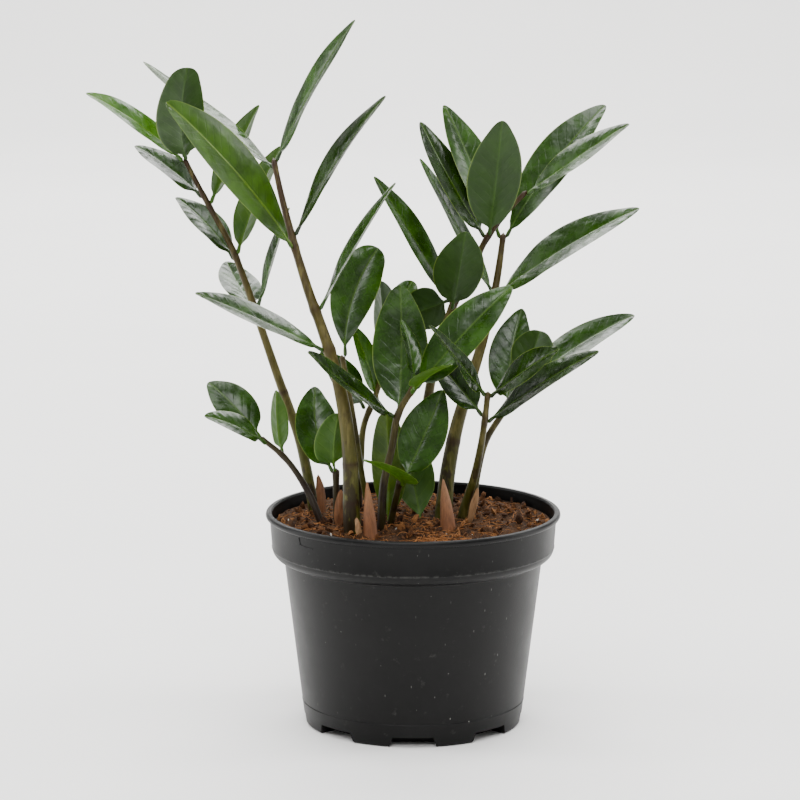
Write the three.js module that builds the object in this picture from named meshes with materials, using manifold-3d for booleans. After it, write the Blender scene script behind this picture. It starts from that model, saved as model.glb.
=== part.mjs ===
// A zz plant (Zamioculcas zamiifolia) growing in a round nursery pot.
//
// Millimetres, +Z up. The origin is the middle of the pot's flat underside and -Y is the front.
// The pot is a thin moulded shell with drain pockets round its foot. Coir fills it. A knobbly
// rhizome lies in the coir, and the stems rise from it through sockets in the coir. Each leaflet
// is a closed solid whose stalk starts at its stem.

import * as THREE from 'three';
import { mergeVertices } from 'three/addons/utils/BufferGeometryUtils.js';
import { ParametricGeometry } from 'three/addons/geometries/ParametricGeometry.js';
import Module from 'manifold-3d';

// ---------------------------------------------------------------- driving dimensions

// Air left between any two pieces that touch.
const fitGap = 0.3;

// The pot.
const potHeight = 124;
const rimDiameter = 170;
const baseDiameter = 126;
const wallThickness = 1.4;
const floorThickness = 1.6;
const lipHeight = 3.4;
const lipOverhang = 2.3;
const collarHeight = 27;
const collarRounding = 6.5;
const collarTaper = 1.3;
const collarStep = 7;
const footRadius = 2;

// The drain pockets moulded round the foot, each with a hole in its roof.
const pocketCount = 8;
const pocketWidth = 27.5;
const pocketHeight = 6;
const pocketDepth = 13;
const pocketSlant = 2.2;
const drainHoleWidth = 9;
const drainHoleDepth = 4;

// The coir.
const coirDrop = 7;
const coirMound = 4;

// The rhizome under the coir.
const rhizomeDepth = 40;
const rhizomePotRadius = 70.5;
const rhizomeThickness = 32;

// The plant above the coir. Growth 1 is a plant that stands about 300 mm above the coir.
const growth = 1;
const stemFootDepth = 32;
const stemTaperPower = 0.8;
const leafThickness = 1.2;
const leafFold = 0.22;
const stalkRadius = 1.1;
const stalkLength = 3;

// ---------------------------------------------------------------- mesh fineness

const potSides = 64;
const coirSides = 48;
const stemSides = 8;
const stemStepLength = 20;
const leafRings = 9;
const leafSectionPoints = 6;
const rhizomeSides = 12;

// ---------------------------------------------------------------- colours and finishes

function finish(color, roughness) {
  return new THREE.MeshStandardMaterial({ color, roughness, metalness: 0, side: THREE.DoubleSide });
}

const finishes = {
  pot: finish(0x2b2c2e, 0.45),
  coir: finish(0x6b3a1e, 0.95),
  rhizome: finish(0xb08a58, 0.8),
  stem: finish(0x5f5a34, 0.55),
  sheath: finish(0x6b3f22, 0.7),
  leaf: finish(0x2f5a0e, 0.3),
};

// ---------------------------------------------------------------- the plant's layout

// Each stem has the points that it passes, from the coir's surface to its tip, and its radius
// at the surface and at the tip. Each leaflet leaves its stem at a height above the coir, and
// reach runs from the stem's middle there to the leaflet's tip. Turn is how far the upper side
// turns from facing the front (0) to facing the sky (90) and on to the back (180). Arch is how
// far the middle bulges to the upper side, sweep how far it bulges sideways, and twist is how
// far the blade turns about its midrib between stalk and tip. Widest is where along the blade it
// is widest, blunt how round its tip is, and leaves the way that the stalk leaves the stem.
const stems = {
  a: {
    way: [
      [-57, 20, 0], [-66, 26, 43], [-77, 32, 74], [-88, 36, 106],
      [-105, 41, 153], [-119, 43, 179], [-133, 45, 206],
    ],
    radius: [3.9, 1.3],
    leaflets: {
      1: { height: 205, reach: [-56, -7, 39], width: 22, turn: 68, arch: 3 },
      2: { height: 205, reach: [5, -44, 57], width: 28, turn: 165, arch: -5, sweep: -4, blunt: 0.9 },
      3: { height: 184, reach: [-41, 18, 27], width: 22, turn: 63, arch: 2 },
      4: { height: 179, reach: [30, -2, 58], width: 23, turn: 122, arch: 1 },
      5: { height: 150, reach: [28, -14, 65], width: 24, turn: 126, arch: 3 },
      6: { height: 148, reach: [-36, 19, 33], width: 22, turn: 57, arch: 3 },
      7: { height: 120, reach: [-18, 44, 20], width: 24, turn: 45, arch: -2 },
      8: { height: 119, reach: [21, -8, 60], width: 18, turn: 76, arch: 0 },
    },
  },
  b: {
    way: [
      [-34, -40, 0], [-36, -40, 50], [-40, -38, 79], [-47, -34, 106],
      [-61, -26, 145], [-73, -15, 186], [-79, -8, 212],
    ],
    radius: [6.0, 1.5],
    leaflets: {
      1: { height: 163, reach: [-69, -36, 85], width: 34, turn: 54, arch: 5, widest: 0.54 },
      2: { height: 169, reach: [53, -10, 80], width: 27, turn: 74, arch: 3 },
      3: { height: 210, reach: [46, -6, 80], width: 23, turn: 70, arch: 2 },
      4: { height: 207, reach: [-81, 96, 51], width: 22, turn: 78, arch: -1 },
      5: { height: 128, reach: [45, -12, 74], width: 22, turn: 80, arch: 1 },
      6: { height: 107, reach: [-74, -15, 34], width: 25, turn: 74, arch: 1 },
    },
  },
  c: {
    way: [[-25, 8, 0], [-29, 6, 23], [-35, 2, 65], [-41, 0, 98]],
    radius: [2.0, 1.5],
    leaflets: {
      1: { height: 97, reach: [21, 4, 62], width: 28, turn: 24, arch: 2,
        sweep: 5, widest: 0.6, blunt: 0.8 },
    },
  },
  d: {
    way: [[-18, -32, 0], [-16, -30, 33], [-11, -30, 54], [-9, -33, 68], [1, -39, 87]],
    radius: [2.9, 1.7],
    leaflets: {
      1: { height: 68, reach: [-49, -40, 44], width: 22, turn: 76, arch: -2 },
      2: { height: 70, reach: [1, 15, 71], width: 33, turn: 17, arch: -4, blunt: 0.3,
        leaves: [0, 1, 0] },
      3: { height: 84, reach: [22, -30, 20], width: 24, turn: 112, arch: 2, stalk: 5,
        leaves: [0, -1, 0] },
      4: { height: 86, reach: [55, 3, 57], width: 28, turn: 37, arch: 3, leaves: [1, 0.4, 0] },
    },
  },
  e: {
    way: [[-32, 24, 0], [-30, 26, 36], [-27, 28, 60], [-19, 28, 75], [-16, 28, 90]],
    radius: [2.6, 1.5],
    leaflets: {
      1: { height: 61, reach: [-27, -13, 36], width: 20, turn: 42, arch: 2 },
    },
  },
  f: {
    way: [[2, 28, 0], [10, 26, 76], [23, 22, 123], [33, 18, 141], [43, 14, 165], [65, 12, 191]],
    radius: [4.4, 1.3],
    leaflets: {
      1: { height: 166, reach: [6, -32, 68], width: 32, turn: 165, arch: -1, leaves: [0, -1, 0] },
      2: { height: 163, reach: [-38, 19, 65], width: 26, turn: 54, arch: -2, leaves: [-1, 0.8, 0] },
      3: { height: 190, reach: [58, -10, 40], width: 24, turn: 66, arch: 1 },
      4: { height: 122, reach: [7, -30, 48], width: 29, turn: 173, arch: -2, leaves: [0, -1, 0] },
      5: { height: 124, reach: [-46, 7, 73], width: 24, turn: 63, arch: 1 },
    },
  },
  g: {
    way: [
      [17, 0, 0], [22, 6, 41], [28, 10, 64], [37, 14, 93], [41, 16, 107], [47, 20, 131], [52, 26, 165],
    ],
    radius: [6.2, 1.6],
    leaflets: {
      1: { height: 131, reach: [82, -10, 50], width: 31, turn: 65, arch: 3 },
      2: { height: 163, reach: [59, 14, 74], width: 30, turn: 47, arch: 5, widest: 0.52 },
      3: { height: 130, reach: [-43, 30, 75], width: 17, turn: 64, arch: 0, leaves: [-0.3, 1, 0] },
      4: { height: 162, reach: [-34, 25, 74], width: 27, turn: 42, arch: 2 },
    },
  },
  h: {
    way: [[-13, -24, 0], [-7, -38, 34]],
    radius: [2.3, 1.7],
    leaflets: {
      1: { height: 31, reach: [-20, -30, 19], width: 27, turn: 113, arch: 1,
        sweep: 7, leaves: [1, -1, 0] },
      2: { height: 33, reach: [24, 7, 50], width: 28, turn: 27, arch: -2, leaves: [1, 0, 0] },
    },
  },
  j: {
    way: [[27, -6, 0], [33, -14, 22], [39, -26, 53], [41, -34, 72], [42, -40, 84]],
    radius: [3.6, 1.5],
    leaflets: {
      1: { height: 82, reach: [-33, -42, 46], width: 17, turn: 50, arch: 0, twist: 40 },
      2: { height: 81, reach: [39, -24, 31], width: 22, turn: 63, arch: 1 },
      3: { height: 68, reach: [-30, 6, 34], width: 22, turn: 41, arch: 0 },
      4: { height: 65, reach: [63, -22, 44], width: 24, turn: 70, arch: 2 },
    },
  },
  k: {
    way: [[33, 4, 0], [40, 6, 41], [49, 6, 60], [56, 6, 68], [63, 6, 81]],
    radius: [3.2, 1.5],
    leaflets: {
      1: { height: 67, reach: [8, 30, 52], width: 25, turn: 16, arch: -2, sweep: 3,
        leaves: [-0.3, 1, 0] },
      2: { height: 80, reach: [65, 12, 38], width: 28, turn: 63, arch: 3 },
    },
  },
  l: {
    way: [[-52, -15, 0], [-58, -11, 15], [-64, -8, 26], [-75, -8, 41], [-88, -10, 52]],
    radius: [2.8, 1.4],
    leaflets: {
      1: { height: 51, reach: [-31, 14, 30], width: 24, turn: 36, arch: 3, leaves: [-0.4, 1, 0] },
      2: { height: 49, reach: [-34, -16, 18], width: 20, turn: 69, arch: 2, stalk: 4,
        leaves: [-0.4, -1, 0] },
      3: { height: 40, reach: [-4, 4, 38], width: 16, turn: 135, arch: 2, sweep: -4,
        leaves: [-0.6, 1, 0] },
    },
  },
  m: {
    way: [[-43, -16, 0], [-44, -20, 36]],
    radius: [2.6, 1.8],
    leaflets: {
      1: { height: 33, reach: [-12, 16, 47], width: 26, turn: 20, arch: 2, sweep: 5,
        leaves: [-1, 0.6, 0] },
      2: { height: 35, reach: [2, -12, 35], width: 22, turn: 158, arch: -1, sweep: -2,
        widest: 0.38, blunt: 0.7, stalk: 4, leaves: [-0.4, -1, 0] },
    },
  },
};

// Young shoots still wrapped in their sheaths: the foot, the tip above the coir and the radius.
const shoots = {
  left: { foot: [-24, -46], tip: [-26, -43, 33], radius: 4.2 },
  right: { foot: [20, -29], tip: [17, -26, 31], radius: 4.6 },
};

// A leaf that rises straight from the coir on a stalk whose lower part is buried.
const groundLeaf = { foot: [5, -8], reach: [-13, 16, 54], width: 26, turn: 160, arch: 3, stalk: 9 };
const groundLeafBuried = 5;

// The rhizome's knobs, each under the stems that grow from it: place and half-widths.
const rhizomeKnobs = [
  { at: [-47, 9], half: [19, 21] },
  { at: [-33, -32], half: [19, 20] },
  { at: [-31, 20], half: [14, 14] },
  { at: [-18, -8], half: [20, 22] },
  { at: [6, 14], half: [18, 24] },
  { at: [27, -5], half: [17, 20] },
];

// ---------------------------------------------------------------- worked-out sizes

const rimRadius = rimDiameter / 2;
const baseRadius = baseDiameter / 2;
const collarRadius = rimRadius - lipOverhang;
const collarFoot = potHeight - collarHeight;
const collarFootRadius = collarRadius - collarTaper;
const bodyTopRadius = collarFootRadius - collarStep;
const coirLevel = potHeight - coirDrop;

// ---------------------------------------------------------------- solids

const wasm = await Module();
wasm.setup();

// A closed position-only mesh: shared corners merged and collapsed triangles left out.
function closedMesh(geometry) {
  const bare = geometry.clone();
  bare.deleteAttribute('normal');
  bare.deleteAttribute('uv');
  const merged = mergeVertices(bare, 1e-4);
  const corners = merged.index.array;
  const kept = [];
  for (let i = 0; i < corners.length; i += 3) {
    const [a, b, c] = [corners[i], corners[i + 1], corners[i + 2]];
    if (a !== b && b !== c && c !== a) kept.push(a, b, c);
  }
  merged.setIndex(kept);
  return merged;
}

function solid(geometry) {
  const closed = closedMesh(geometry);
  const vertProperties = new Float32Array(closed.attributes.position.array);
  const triVerts = new Uint32Array(closed.index.array);
  return new wasm.Manifold(new wasm.Mesh({ numProp: 3, vertProperties, triVerts }));
}

function geometryOf(manifold) {
  const { vertProperties, triVerts } = manifold.getMesh();
  const geometry = new THREE.BufferGeometry();
  geometry.setAttribute('position', new THREE.BufferAttribute(vertProperties, 3));
  geometry.setIndex(new THREE.BufferAttribute(triVerts, 1));
  geometry.computeVertexNormals();
  return geometry;
}

function turned(profile, sides) {
  const geometry = new THREE.LatheGeometry(profile, sides);
  geometry.rotateX(Math.PI / 2);
  return geometry;
}

function joined(manifolds) {
  return manifolds.reduce((whole, piece) => whole.add(piece));
}

// ---------------------------------------------------------------- pot

const point = (radius, height) => new THREE.Vector2(radius, height);

// The wall's line from foot to rim, moved inwards by an inset, without the floor or the lip. The
// collar's underside is a quarter of an ellipse that starts at the body's top corner.
function wallLine(inset) {
  const underside = [0.25, 0.5, 0.75, 1].map((share) => {
    const angle = (share * Math.PI) / 2;
    return point(
      bodyTopRadius + (collarStep - inset) * Math.sin(angle),
      collarFoot + collarRounding - (collarRounding - inset) * Math.cos(angle),
    );
  });
  return [
    point(baseRadius - inset, footRadius),
    point(bodyTopRadius - inset, collarFoot + inset),
    ...underside,
    point(collarRadius - inset, potHeight - lipHeight),
  ];
}

// The wall's line inside the pot, from the floor's level to the rim.
function insideLine(inset) {
  const [foot, ...rest] = wallLine(wallThickness + inset);
  const floorLevel = floorThickness + inset;
  return [point(foot.x, floorLevel), ...rest, point(collarRadius - wallThickness - inset, potHeight)];
}

// The pot's inside radius at a height.
function insideRadiusAt(height) {
  const line = insideLine(0);
  const above = Math.max(1, line.findIndex((corner) => corner.y >= height));
  const [low, high] = [line[above - 1], line[above]];
  return THREE.MathUtils.mapLinear(height, low.y, high.y, low.x, high.x);
}

function potOutside() {
  const softening = lipHeight * 0.2;
  return turned([
    point(0, 0),
    point(baseRadius - footRadius, 0),
    point(baseRadius - footRadius * 0.3, footRadius * 0.35),
    ...wallLine(0),
    point(rimRadius - softening, potHeight - lipHeight),
    point(rimRadius, potHeight - lipHeight + softening),
    point(rimRadius, potHeight - softening),
    point(rimRadius - softening, potHeight),
    point(0, potHeight),
  ], potSides);
}

function potHollow() {
  const overRim = 1;
  const line = insideLine(0);
  const mouth = line[line.length - 1];
  return turned([
    point(0, floorThickness),
    ...line,
    point(mouth.x, potHeight + overRim),
    point(0, potHeight + overRim),
  ], potSides);
}

// A block that fills each drain pocket, grown outwards by a margin on its roof and three sides.
function pocketBlocks(margin) {
  const below = 1;
  const beyond = 4;
  const halfFoot = pocketWidth / 2 + margin;
  const halfRoof = halfFoot - pocketSlant;
  const roof = pocketHeight + margin;
  const outline = new THREE.Shape([
    point(-halfFoot, -below),
    point(halfFoot, -below),
    point(halfRoof, roof),
    point(-halfRoof, roof),
  ]);
  const innerEnd = baseRadius - pocketDepth - margin;
  const depth = baseRadius + beyond - innerEnd;
  return Array.from({ length: pocketCount }, (_, i) => {
    const block = new THREE.ExtrudeGeometry(outline, { depth, bevelEnabled: false });
    block.rotateX(Math.PI / 2);
    block.translate(0, -innerEnd, 0);
    block.rotateZ((i * 2 * Math.PI) / pocketCount);
    return solid(block);
  });
}

// The holes in the pockets' roofs, just inside the wall.
function drainHoles() {
  const reach = pocketHeight + floorThickness + 4;
  const middle = baseRadius - wallThickness - 1.5 - drainHoleDepth / 2;
  return Array.from({ length: pocketCount }, (_, i) => {
    const hole = new THREE.BoxGeometry(drainHoleWidth, drainHoleDepth, reach);
    hole.translate(0, -middle, reach / 2 - 1);
    hole.rotateZ((i * 2 * Math.PI) / pocketCount);
    return solid(hole);
  });
}

function potSolid() {
  const hollow = solid(potHollow()).subtract(joined(pocketBlocks(floorThickness)));
  return solid(potOutside())
    .subtract(joined(pocketBlocks(0)))
    .subtract(hollow)
    .subtract(joined(drainHoles()));
}

// ---------------------------------------------------------------- coir

// The part of a line that rises to a level, ending on that level.
function lineBelow(line, level) {
  const over = line.findIndex((p) => p.y > level);
  const [low, high] = [line[over - 1], line[over]];
  const share = (level - low.y) / (high.y - low.y);
  return [...line.slice(0, over), low.clone().lerp(high, share)];
}

function coirBody() {
  const side = lineBelow(insideLine(fitGap), coirLevel);
  const edge = side[side.length - 1];
  const crown = [0.75, 0.5, 0.25].map((share) => {
    return point(edge.x * share, coirLevel + coirMound * (1 - share * share));
  });
  return turned([
    point(0, floorThickness + fitGap),
    ...side,
    ...crown,
    point(0, coirLevel + coirMound),
  ], coirSides);
}

function coirTopAt(x, y) {
  const side = lineBelow(insideLine(fitGap), coirLevel);
  const share = Math.min(1, Math.hypot(x, y) / side[side.length - 1].x);
  return coirLevel + coirMound * (1 - share * share);
}

// ---------------------------------------------------------------- rhizome

// The rhizome fills its pot: the knobs are laid out for a pot with rhizomePotRadius inside, and
// follow the real pot's inside radius at their level.
function rhizomeSolid(margin) {
  const spread = insideRadiusAt(coirLevel - rhizomeDepth) / rhizomePotRadius;
  return joined(rhizomeKnobs.map(({ at, half }) => {
    const knob = new THREE.SphereGeometry(1, rhizomeSides, rhizomeSides / 2);
    knob.scale(
      half[0] * spread + margin,
      rhizomeThickness / 2 + margin,
      half[1] * spread + margin,
    );
    knob.rotateX(Math.PI / 2);
    knob.translate(at[0] * spread, at[1] * spread, coirLevel - rhizomeDepth);
    return solid(knob);
  }));
}

// ---------------------------------------------------------------- stems and shoots

function placeInPlant([x, y, z]) {
  return new THREE.Vector3(x * growth, y * growth, coirLevel + z * growth);
}

// A stem's middle line, from its foot at the rhizome to its tip. Its buried part leans in as the
// pot's wall does.
function stemLine(way) {
  const points = way.map(placeInPlant);
  const footLevel = coirLevel - stemFootDepth;
  const lean = insideRadiusAt(footLevel) / insideRadiusAt(potHeight);
  const foot = new THREE.Vector3(points[0].x * lean, points[0].y * lean, footLevel);
  return new THREE.CatmullRomCurve3([foot, ...points], false, 'centripetal');
}

function stemRadiusAt(radius, share) {
  return THREE.MathUtils.lerp(radius[0], radius[1], Math.pow(share, stemTaperPower));
}

// A round bar along a line, with its radius at each share of its length given by a function.
function taperedBar(line, radiusAt, steps) {
  const section = new THREE.Shape();
  section.absarc(0, 0, 1, 0, 2 * Math.PI);
  const bar = closedMesh(new THREE.ExtrudeGeometry(section, {
    steps,
    curveSegments: stemSides / 2,
    extrudePath: line,
    bevelEnabled: false,
  }));
  const stations = line.getSpacedPoints(steps);
  const positions = bar.attributes.position;
  const corner = new THREE.Vector3();
  for (let i = 0; i < positions.count; i += 1) {
    corner.fromBufferAttribute(positions, i);
    const distances = stations.map((station) => station.distanceTo(corner));
    const nearest = distances.indexOf(Math.min(...distances));
    const station = stations[nearest];
    corner.sub(station).multiplyScalar(radiusAt(nearest / steps)).add(station);
    positions.setXYZ(i, corner.x, corner.y, corner.z);
  }
  return bar;
}

function stemBar({ way, radius }, margin) {
  const line = stemLine(way);
  const steps = Math.max(4, Math.round(line.getLength() / stemStepLength));
  return taperedBar(line, (share) => stemRadiusAt(radius, share) + margin, steps);
}

function shootBar({ foot, tip, radius }, margin) {
  const top = placeInPlant(tip);
  const surface = placeInPlant([...foot, 0]);
  const bottom = surface.clone().setZ(coirLevel - stemFootDepth);
  const line = new THREE.CatmullRomCurve3([bottom, surface, top]);
  const buried = surface.distanceTo(bottom) / (surface.distanceTo(bottom) + top.distanceTo(surface));
  const tipRadius = 0.4;
  const radiusAt = (share) => {
    const rise = Math.max(0, (share - buried) / (1 - buried));
    return THREE.MathUtils.lerp(radius, tipRadius, Math.pow(rise, 1.8)) + margin;
  };
  const steps = 10;
  return taperedBar(line, radiusAt, steps);
}

// ---------------------------------------------------------------- leaflets

// Where a stem's line passes a height above the coir, as a share of its length.
function shareAtHeight(line, height) {
  const level = coirLevel + height * growth;
  let [low, high] = [0, 1];
  for (let i = 0; i < 24; i += 1) {
    const middle = (low + high) / 2;
    if (line.getPointAt(middle).z < level) low = middle;
    else high = middle;
  }
  return (low + high) / 2;
}

// A blade's half-width along the midrib, as a share of its greatest half-width.
function bladeOutline(share, widest, blunt) {
  const shifted = Math.pow(share, Math.log(0.5) / Math.log(widest));
  const fullness = 0.8 - 0.45 * blunt * share;
  return Math.pow(Math.max(0, 4 * shifted * (1 - shifted)), fullness);
}

// A closed leaflet from its stalk's start to its tip: a shallow V in section, thickest at the
// midrib, with a flat-sided underside and a crowned upper side.
function leafletGeometry(start, tip, shape) {
  const { width, turn, arch = 0, sweep = 0, twist = 0 } = shape;
  const { widest = 0.46, blunt = 0, stalk = stalkLength } = shape;
  const chord = tip.clone().sub(start);
  const stalkShare = (stalk * growth) / chord.length();
  const along = chord.clone().normalize();
  const front = new THREE.Vector3(0, -1, 0);
  front.addScaledVector(along, -front.dot(along)).normalize();
  const skyward = new THREE.Vector3().crossVectors(along, front);
  if (skyward.z < 0) skyward.negate();
  const angle = THREE.MathUtils.degToRad(turn);
  const up = front.multiplyScalar(Math.cos(angle)).addScaledVector(skyward, Math.sin(angle));
  const side = new THREE.Vector3().crossVectors(up, along);
  const bulge = (share) => 4 * share * (1 - share);
  const midribAt = (share) => start.clone()
    .addScaledVector(chord, share)
    .addScaledVector(up, arch * growth * bulge(share))
    .addScaledVector(side, sweep * growth * bulge(share));
  const tangentAt = (share) => chord.clone()
    .addScaledVector(up, arch * growth * 4 * (1 - 2 * share))
    .addScaledVector(side, sweep * growth * 4 * (1 - 2 * share))
    .normalize();

  // Across the blade and out of it, in half-widths and half-thicknesses: the two edges, the
  // three points of the upper side and the keel under the midrib.
  const section = [[1, 0], [0.5, 1], [0, 0.6], [-0.5, 1], [-1, 0], [0, -1.4]];
  const surface = (around, share, target) => {
    const isEnd = share < 1e-6 || share > 1 - 1e-6;
    const [across, out] = section[Math.round(around * leafSectionPoints) % leafSectionPoints];
    const tangent = tangentAt(share);
    const normal = up.clone().addScaledVector(tangent, -up.dot(tangent)).normalize();
    normal.applyAxisAngle(tangent, THREE.MathUtils.degToRad(twist) * share);
    const sideways = new THREE.Vector3().crossVectors(normal, tangent);
    const bladeShare = Math.max(0, share - stalkShare) / (1 - stalkShare);
    const stalkFade = Math.max(0, 1 - share * 3);
    const blade = (width / 2) * growth * bladeOutline(bladeShare, widest, blunt);
    const halfWidth = Math.max(blade, stalkRadius * stalkFade);
    const halfThickness = leafThickness / 2 + stalkRadius * stalkFade * 0.5;
    target.copy(midribAt(share));
    if (isEnd) return;
    const fold = leafFold * Math.abs(across) * halfWidth * (1 - stalkFade);
    target.addScaledVector(sideways, across * halfWidth);
    target.addScaledVector(normal, out * halfThickness + fold);
  };
  return closedMesh(new ParametricGeometry(surface, leafSectionPoints, leafRings));
}

// A leaflet's stalk leaves its stem's side towards the leaflet's tip.
function leafletOnStem(stem, leaflet) {
  const line = stemLine(stem.way);
  const share = shareAtHeight(line, leaflet.height);
  const middle = line.getPointAt(share);
  const tangent = line.getTangentAt(share);
  const reach = new THREE.Vector3(...leaflet.reach).multiplyScalar(growth);
  const away = new THREE.Vector3(...(leaflet.leaves ?? leaflet.reach));
  away.addScaledVector(tangent, -away.dot(tangent)).normalize();
  const start = middle.clone().addScaledVector(away, stemRadiusAt(stem.radius, share) + fitGap * 1.5);
  return leafletGeometry(start, middle.add(reach), leaflet);
}

function groundLeafStart() {
  const [x, y] = groundLeaf.foot.map((value) => value * growth);
  return new THREE.Vector3(x, y, coirTopAt(x, y) - groundLeafBuried);
}

function groundLeafGeometry() {
  const start = groundLeafStart();
  const tip = start.clone().add(new THREE.Vector3(...groundLeaf.reach).multiplyScalar(growth));
  return leafletGeometry(start, tip, groundLeaf);
}

// The hole in the coir that a ground leaf's stalk stands in.
function groundLeafSocket() {
  const over = 2;
  const radius = stalkRadius * 2 + fitGap;
  const start = groundLeafStart();
  const length = groundLeafBuried + fitGap + over;
  const socket = new THREE.CylinderGeometry(radius * 2, radius * 1.2, length, stemSides);
  socket.rotateX(Math.PI / 2);
  socket.translate(start.x, start.y, start.z - fitGap + length / 2);
  return solid(socket);
}

// ---------------------------------------------------------------- the whole plant

const pottedPlant = new THREE.Group();

function addPiece(name, geometry, material) {
  const mesh = new THREE.Mesh(geometry, material);
  mesh.name = name;
  pottedPlant.add(mesh);
}

const rhizomeWithGap = rhizomeSolid(fitGap);
const sockets = [
  rhizomeWithGap,
  groundLeafSocket(),
  ...Object.values(stems).map((stem) => solid(stemBar(stem, fitGap))),
  ...Object.values(shoots).map((shoot) => solid(shootBar(shoot, fitGap))),
];

addPiece('pot', geometryOf(potSolid()), finishes.pot);
const coir = solid(coirBody())
  .subtract(joined(pocketBlocks(floorThickness + fitGap)))
  .subtract(joined(sockets));
addPiece('coir', geometryOf(coir), finishes.coir);
addPiece('rhizome', geometryOf(rhizomeSolid(0)), finishes.rhizome);

for (const [letter, stem] of Object.entries(stems)) {
  const bar = solid(stemBar(stem, 0)).subtract(rhizomeWithGap);
  addPiece(`stem_${letter}`, geometryOf(bar), finishes.stem);
  for (const [number, leaflet] of Object.entries(stem.leaflets)) {
    addPiece(`leaflet_${letter}${number}`, leafletOnStem(stem, leaflet), finishes.leaf);
  }
}

for (const [side, shoot] of Object.entries(shoots)) {
  const bar = solid(shootBar(shoot, 0)).subtract(rhizomeWithGap);
  addPiece(`shoot_${side}`, geometryOf(bar), finishes.sheath);
}

addPiece('ground_leaf', groundLeafGeometry(), finishes.leaf);

export default pottedPlant;
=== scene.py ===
"""A zz plant in a round nursery pot: the fine leaves, stems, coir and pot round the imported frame."""

import logging
import math
import random
from dataclasses import dataclass, field
from enum import Enum
from typing import Any, Callable, Iterable, Sequence

import bpy
import numpy as np
from mathutils import Euler, Matrix, Vector, noise


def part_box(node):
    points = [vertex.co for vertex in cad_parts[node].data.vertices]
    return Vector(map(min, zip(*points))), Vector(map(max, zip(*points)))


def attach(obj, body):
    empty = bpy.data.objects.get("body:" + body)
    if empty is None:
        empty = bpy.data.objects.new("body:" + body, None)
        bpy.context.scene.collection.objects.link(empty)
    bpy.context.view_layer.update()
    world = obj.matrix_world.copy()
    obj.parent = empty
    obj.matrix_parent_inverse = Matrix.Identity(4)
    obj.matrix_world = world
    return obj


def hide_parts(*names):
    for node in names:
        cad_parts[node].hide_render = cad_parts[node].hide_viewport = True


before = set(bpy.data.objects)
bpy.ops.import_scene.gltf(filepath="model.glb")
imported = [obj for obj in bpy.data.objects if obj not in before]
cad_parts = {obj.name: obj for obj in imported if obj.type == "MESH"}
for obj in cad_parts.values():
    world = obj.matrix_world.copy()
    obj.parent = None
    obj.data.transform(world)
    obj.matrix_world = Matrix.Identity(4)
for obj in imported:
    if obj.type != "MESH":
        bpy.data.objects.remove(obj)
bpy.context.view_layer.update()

MM = 0.001
COIR_LEVEL = 117.0
LOG = logging.getLogger("zz_plant")

Points = np.ndarray
Place = Callable[[np.ndarray, np.ndarray], Points]


# ---------------------------------------------------------------- mesh helpers


def smooth_step(low: float, high: float, value: Any) -> Any:
    """Rises smoothly from 0 at low to 1 at high.

    Args:
        low: value at which the step starts.
        high: value at which the step ends.
        value: a number or an array.

    Returns:
        The step's height, of the same kind as value.
    """
    share = np.clip((value - low) / (high - low), 0.0, 1.0)
    return share * share * (3.0 - 2.0 * share)


def deselect_all() -> None:
    """Leaves nothing selected, so that the next operator acts on its own piece only."""
    for thing in bpy.context.selected_objects:
        thing.select_set(False)


def select_only(piece: bpy.types.Object) -> None:
    """Selects one piece and makes it active."""
    deselect_all()
    piece.select_set(True)
    bpy.context.view_layer.objects.active = piece


def newest(name: str) -> bpy.types.Object:
    """Names the object that the last add operator made and returns it."""
    piece = bpy.context.object
    piece.name = name
    piece.data.name = name
    return piece


def points_of(piece: bpy.types.Object) -> Points:
    """The places of a mesh's points, one row each."""
    flat = np.zeros(len(piece.data.vertices) * 3)
    piece.data.vertices.foreach_get("co", flat)
    return flat.reshape(-1, 3)


def set_points(piece: bpy.types.Object, places: Points) -> None:
    """Moves a mesh's points to new places."""
    piece.data.vertices.foreach_set("co", np.asarray(places, float).ravel())
    piece.data.update()


def set_attribute(piece: bpy.types.Object, name: str, values: np.ndarray) -> None:
    """Stores one number for each point of a mesh, for its material to read."""
    layer = piece.data.attributes.new(name, "FLOAT", "POINT")
    layer.data.foreach_set("value", np.asarray(values, np.float32))


def outward(piece: bpy.types.Object, merge: float = 1e-6) -> None:
    """Merges doubled points and turns every face outwards.

    Args:
        piece: the mesh to mend.
        merge: distance in metres within which points become one.
    """
    select_only(piece)
    bpy.ops.object.mode_set(mode="EDIT")
    bpy.ops.mesh.select_all(action="SELECT")
    bpy.ops.mesh.remove_doubles(threshold=merge)
    bpy.ops.mesh.normals_make_consistent(inside=False)
    bpy.ops.object.mode_set(mode="OBJECT")


def smooth(piece: bpy.types.Object, degrees: float) -> None:
    """Shades a piece smooth wherever its faces meet at less than an angle."""
    select_only(piece)
    bpy.ops.object.shade_smooth_by_angle(angle=math.radians(degrees))


def apply_modifier(piece: bpy.types.Object, kind: str, settings: dict[str, Any]) -> None:
    """Adds a modifier to a piece, sets it up and applies it.

    Args:
        piece: the mesh to change.
        kind: Blender's name of the modifier's kind.
        settings: the modifier's properties and their values.
    """
    modifier = piece.modifiers.new(kind.title(), kind)
    for key, value in settings.items():
        setattr(modifier, key, value)
    select_only(piece)
    bpy.ops.object.modifier_apply(modifier=modifier.name)


def cut(piece: bpy.types.Object, tool: bpy.types.Object) -> None:
    """Cuts a tool's shape out of a piece and removes the tool."""
    apply_modifier(piece, "BOOLEAN", {"operation": "DIFFERENCE", "solver": "EXACT", "object": tool})
    bpy.data.objects.remove(tool)


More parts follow.
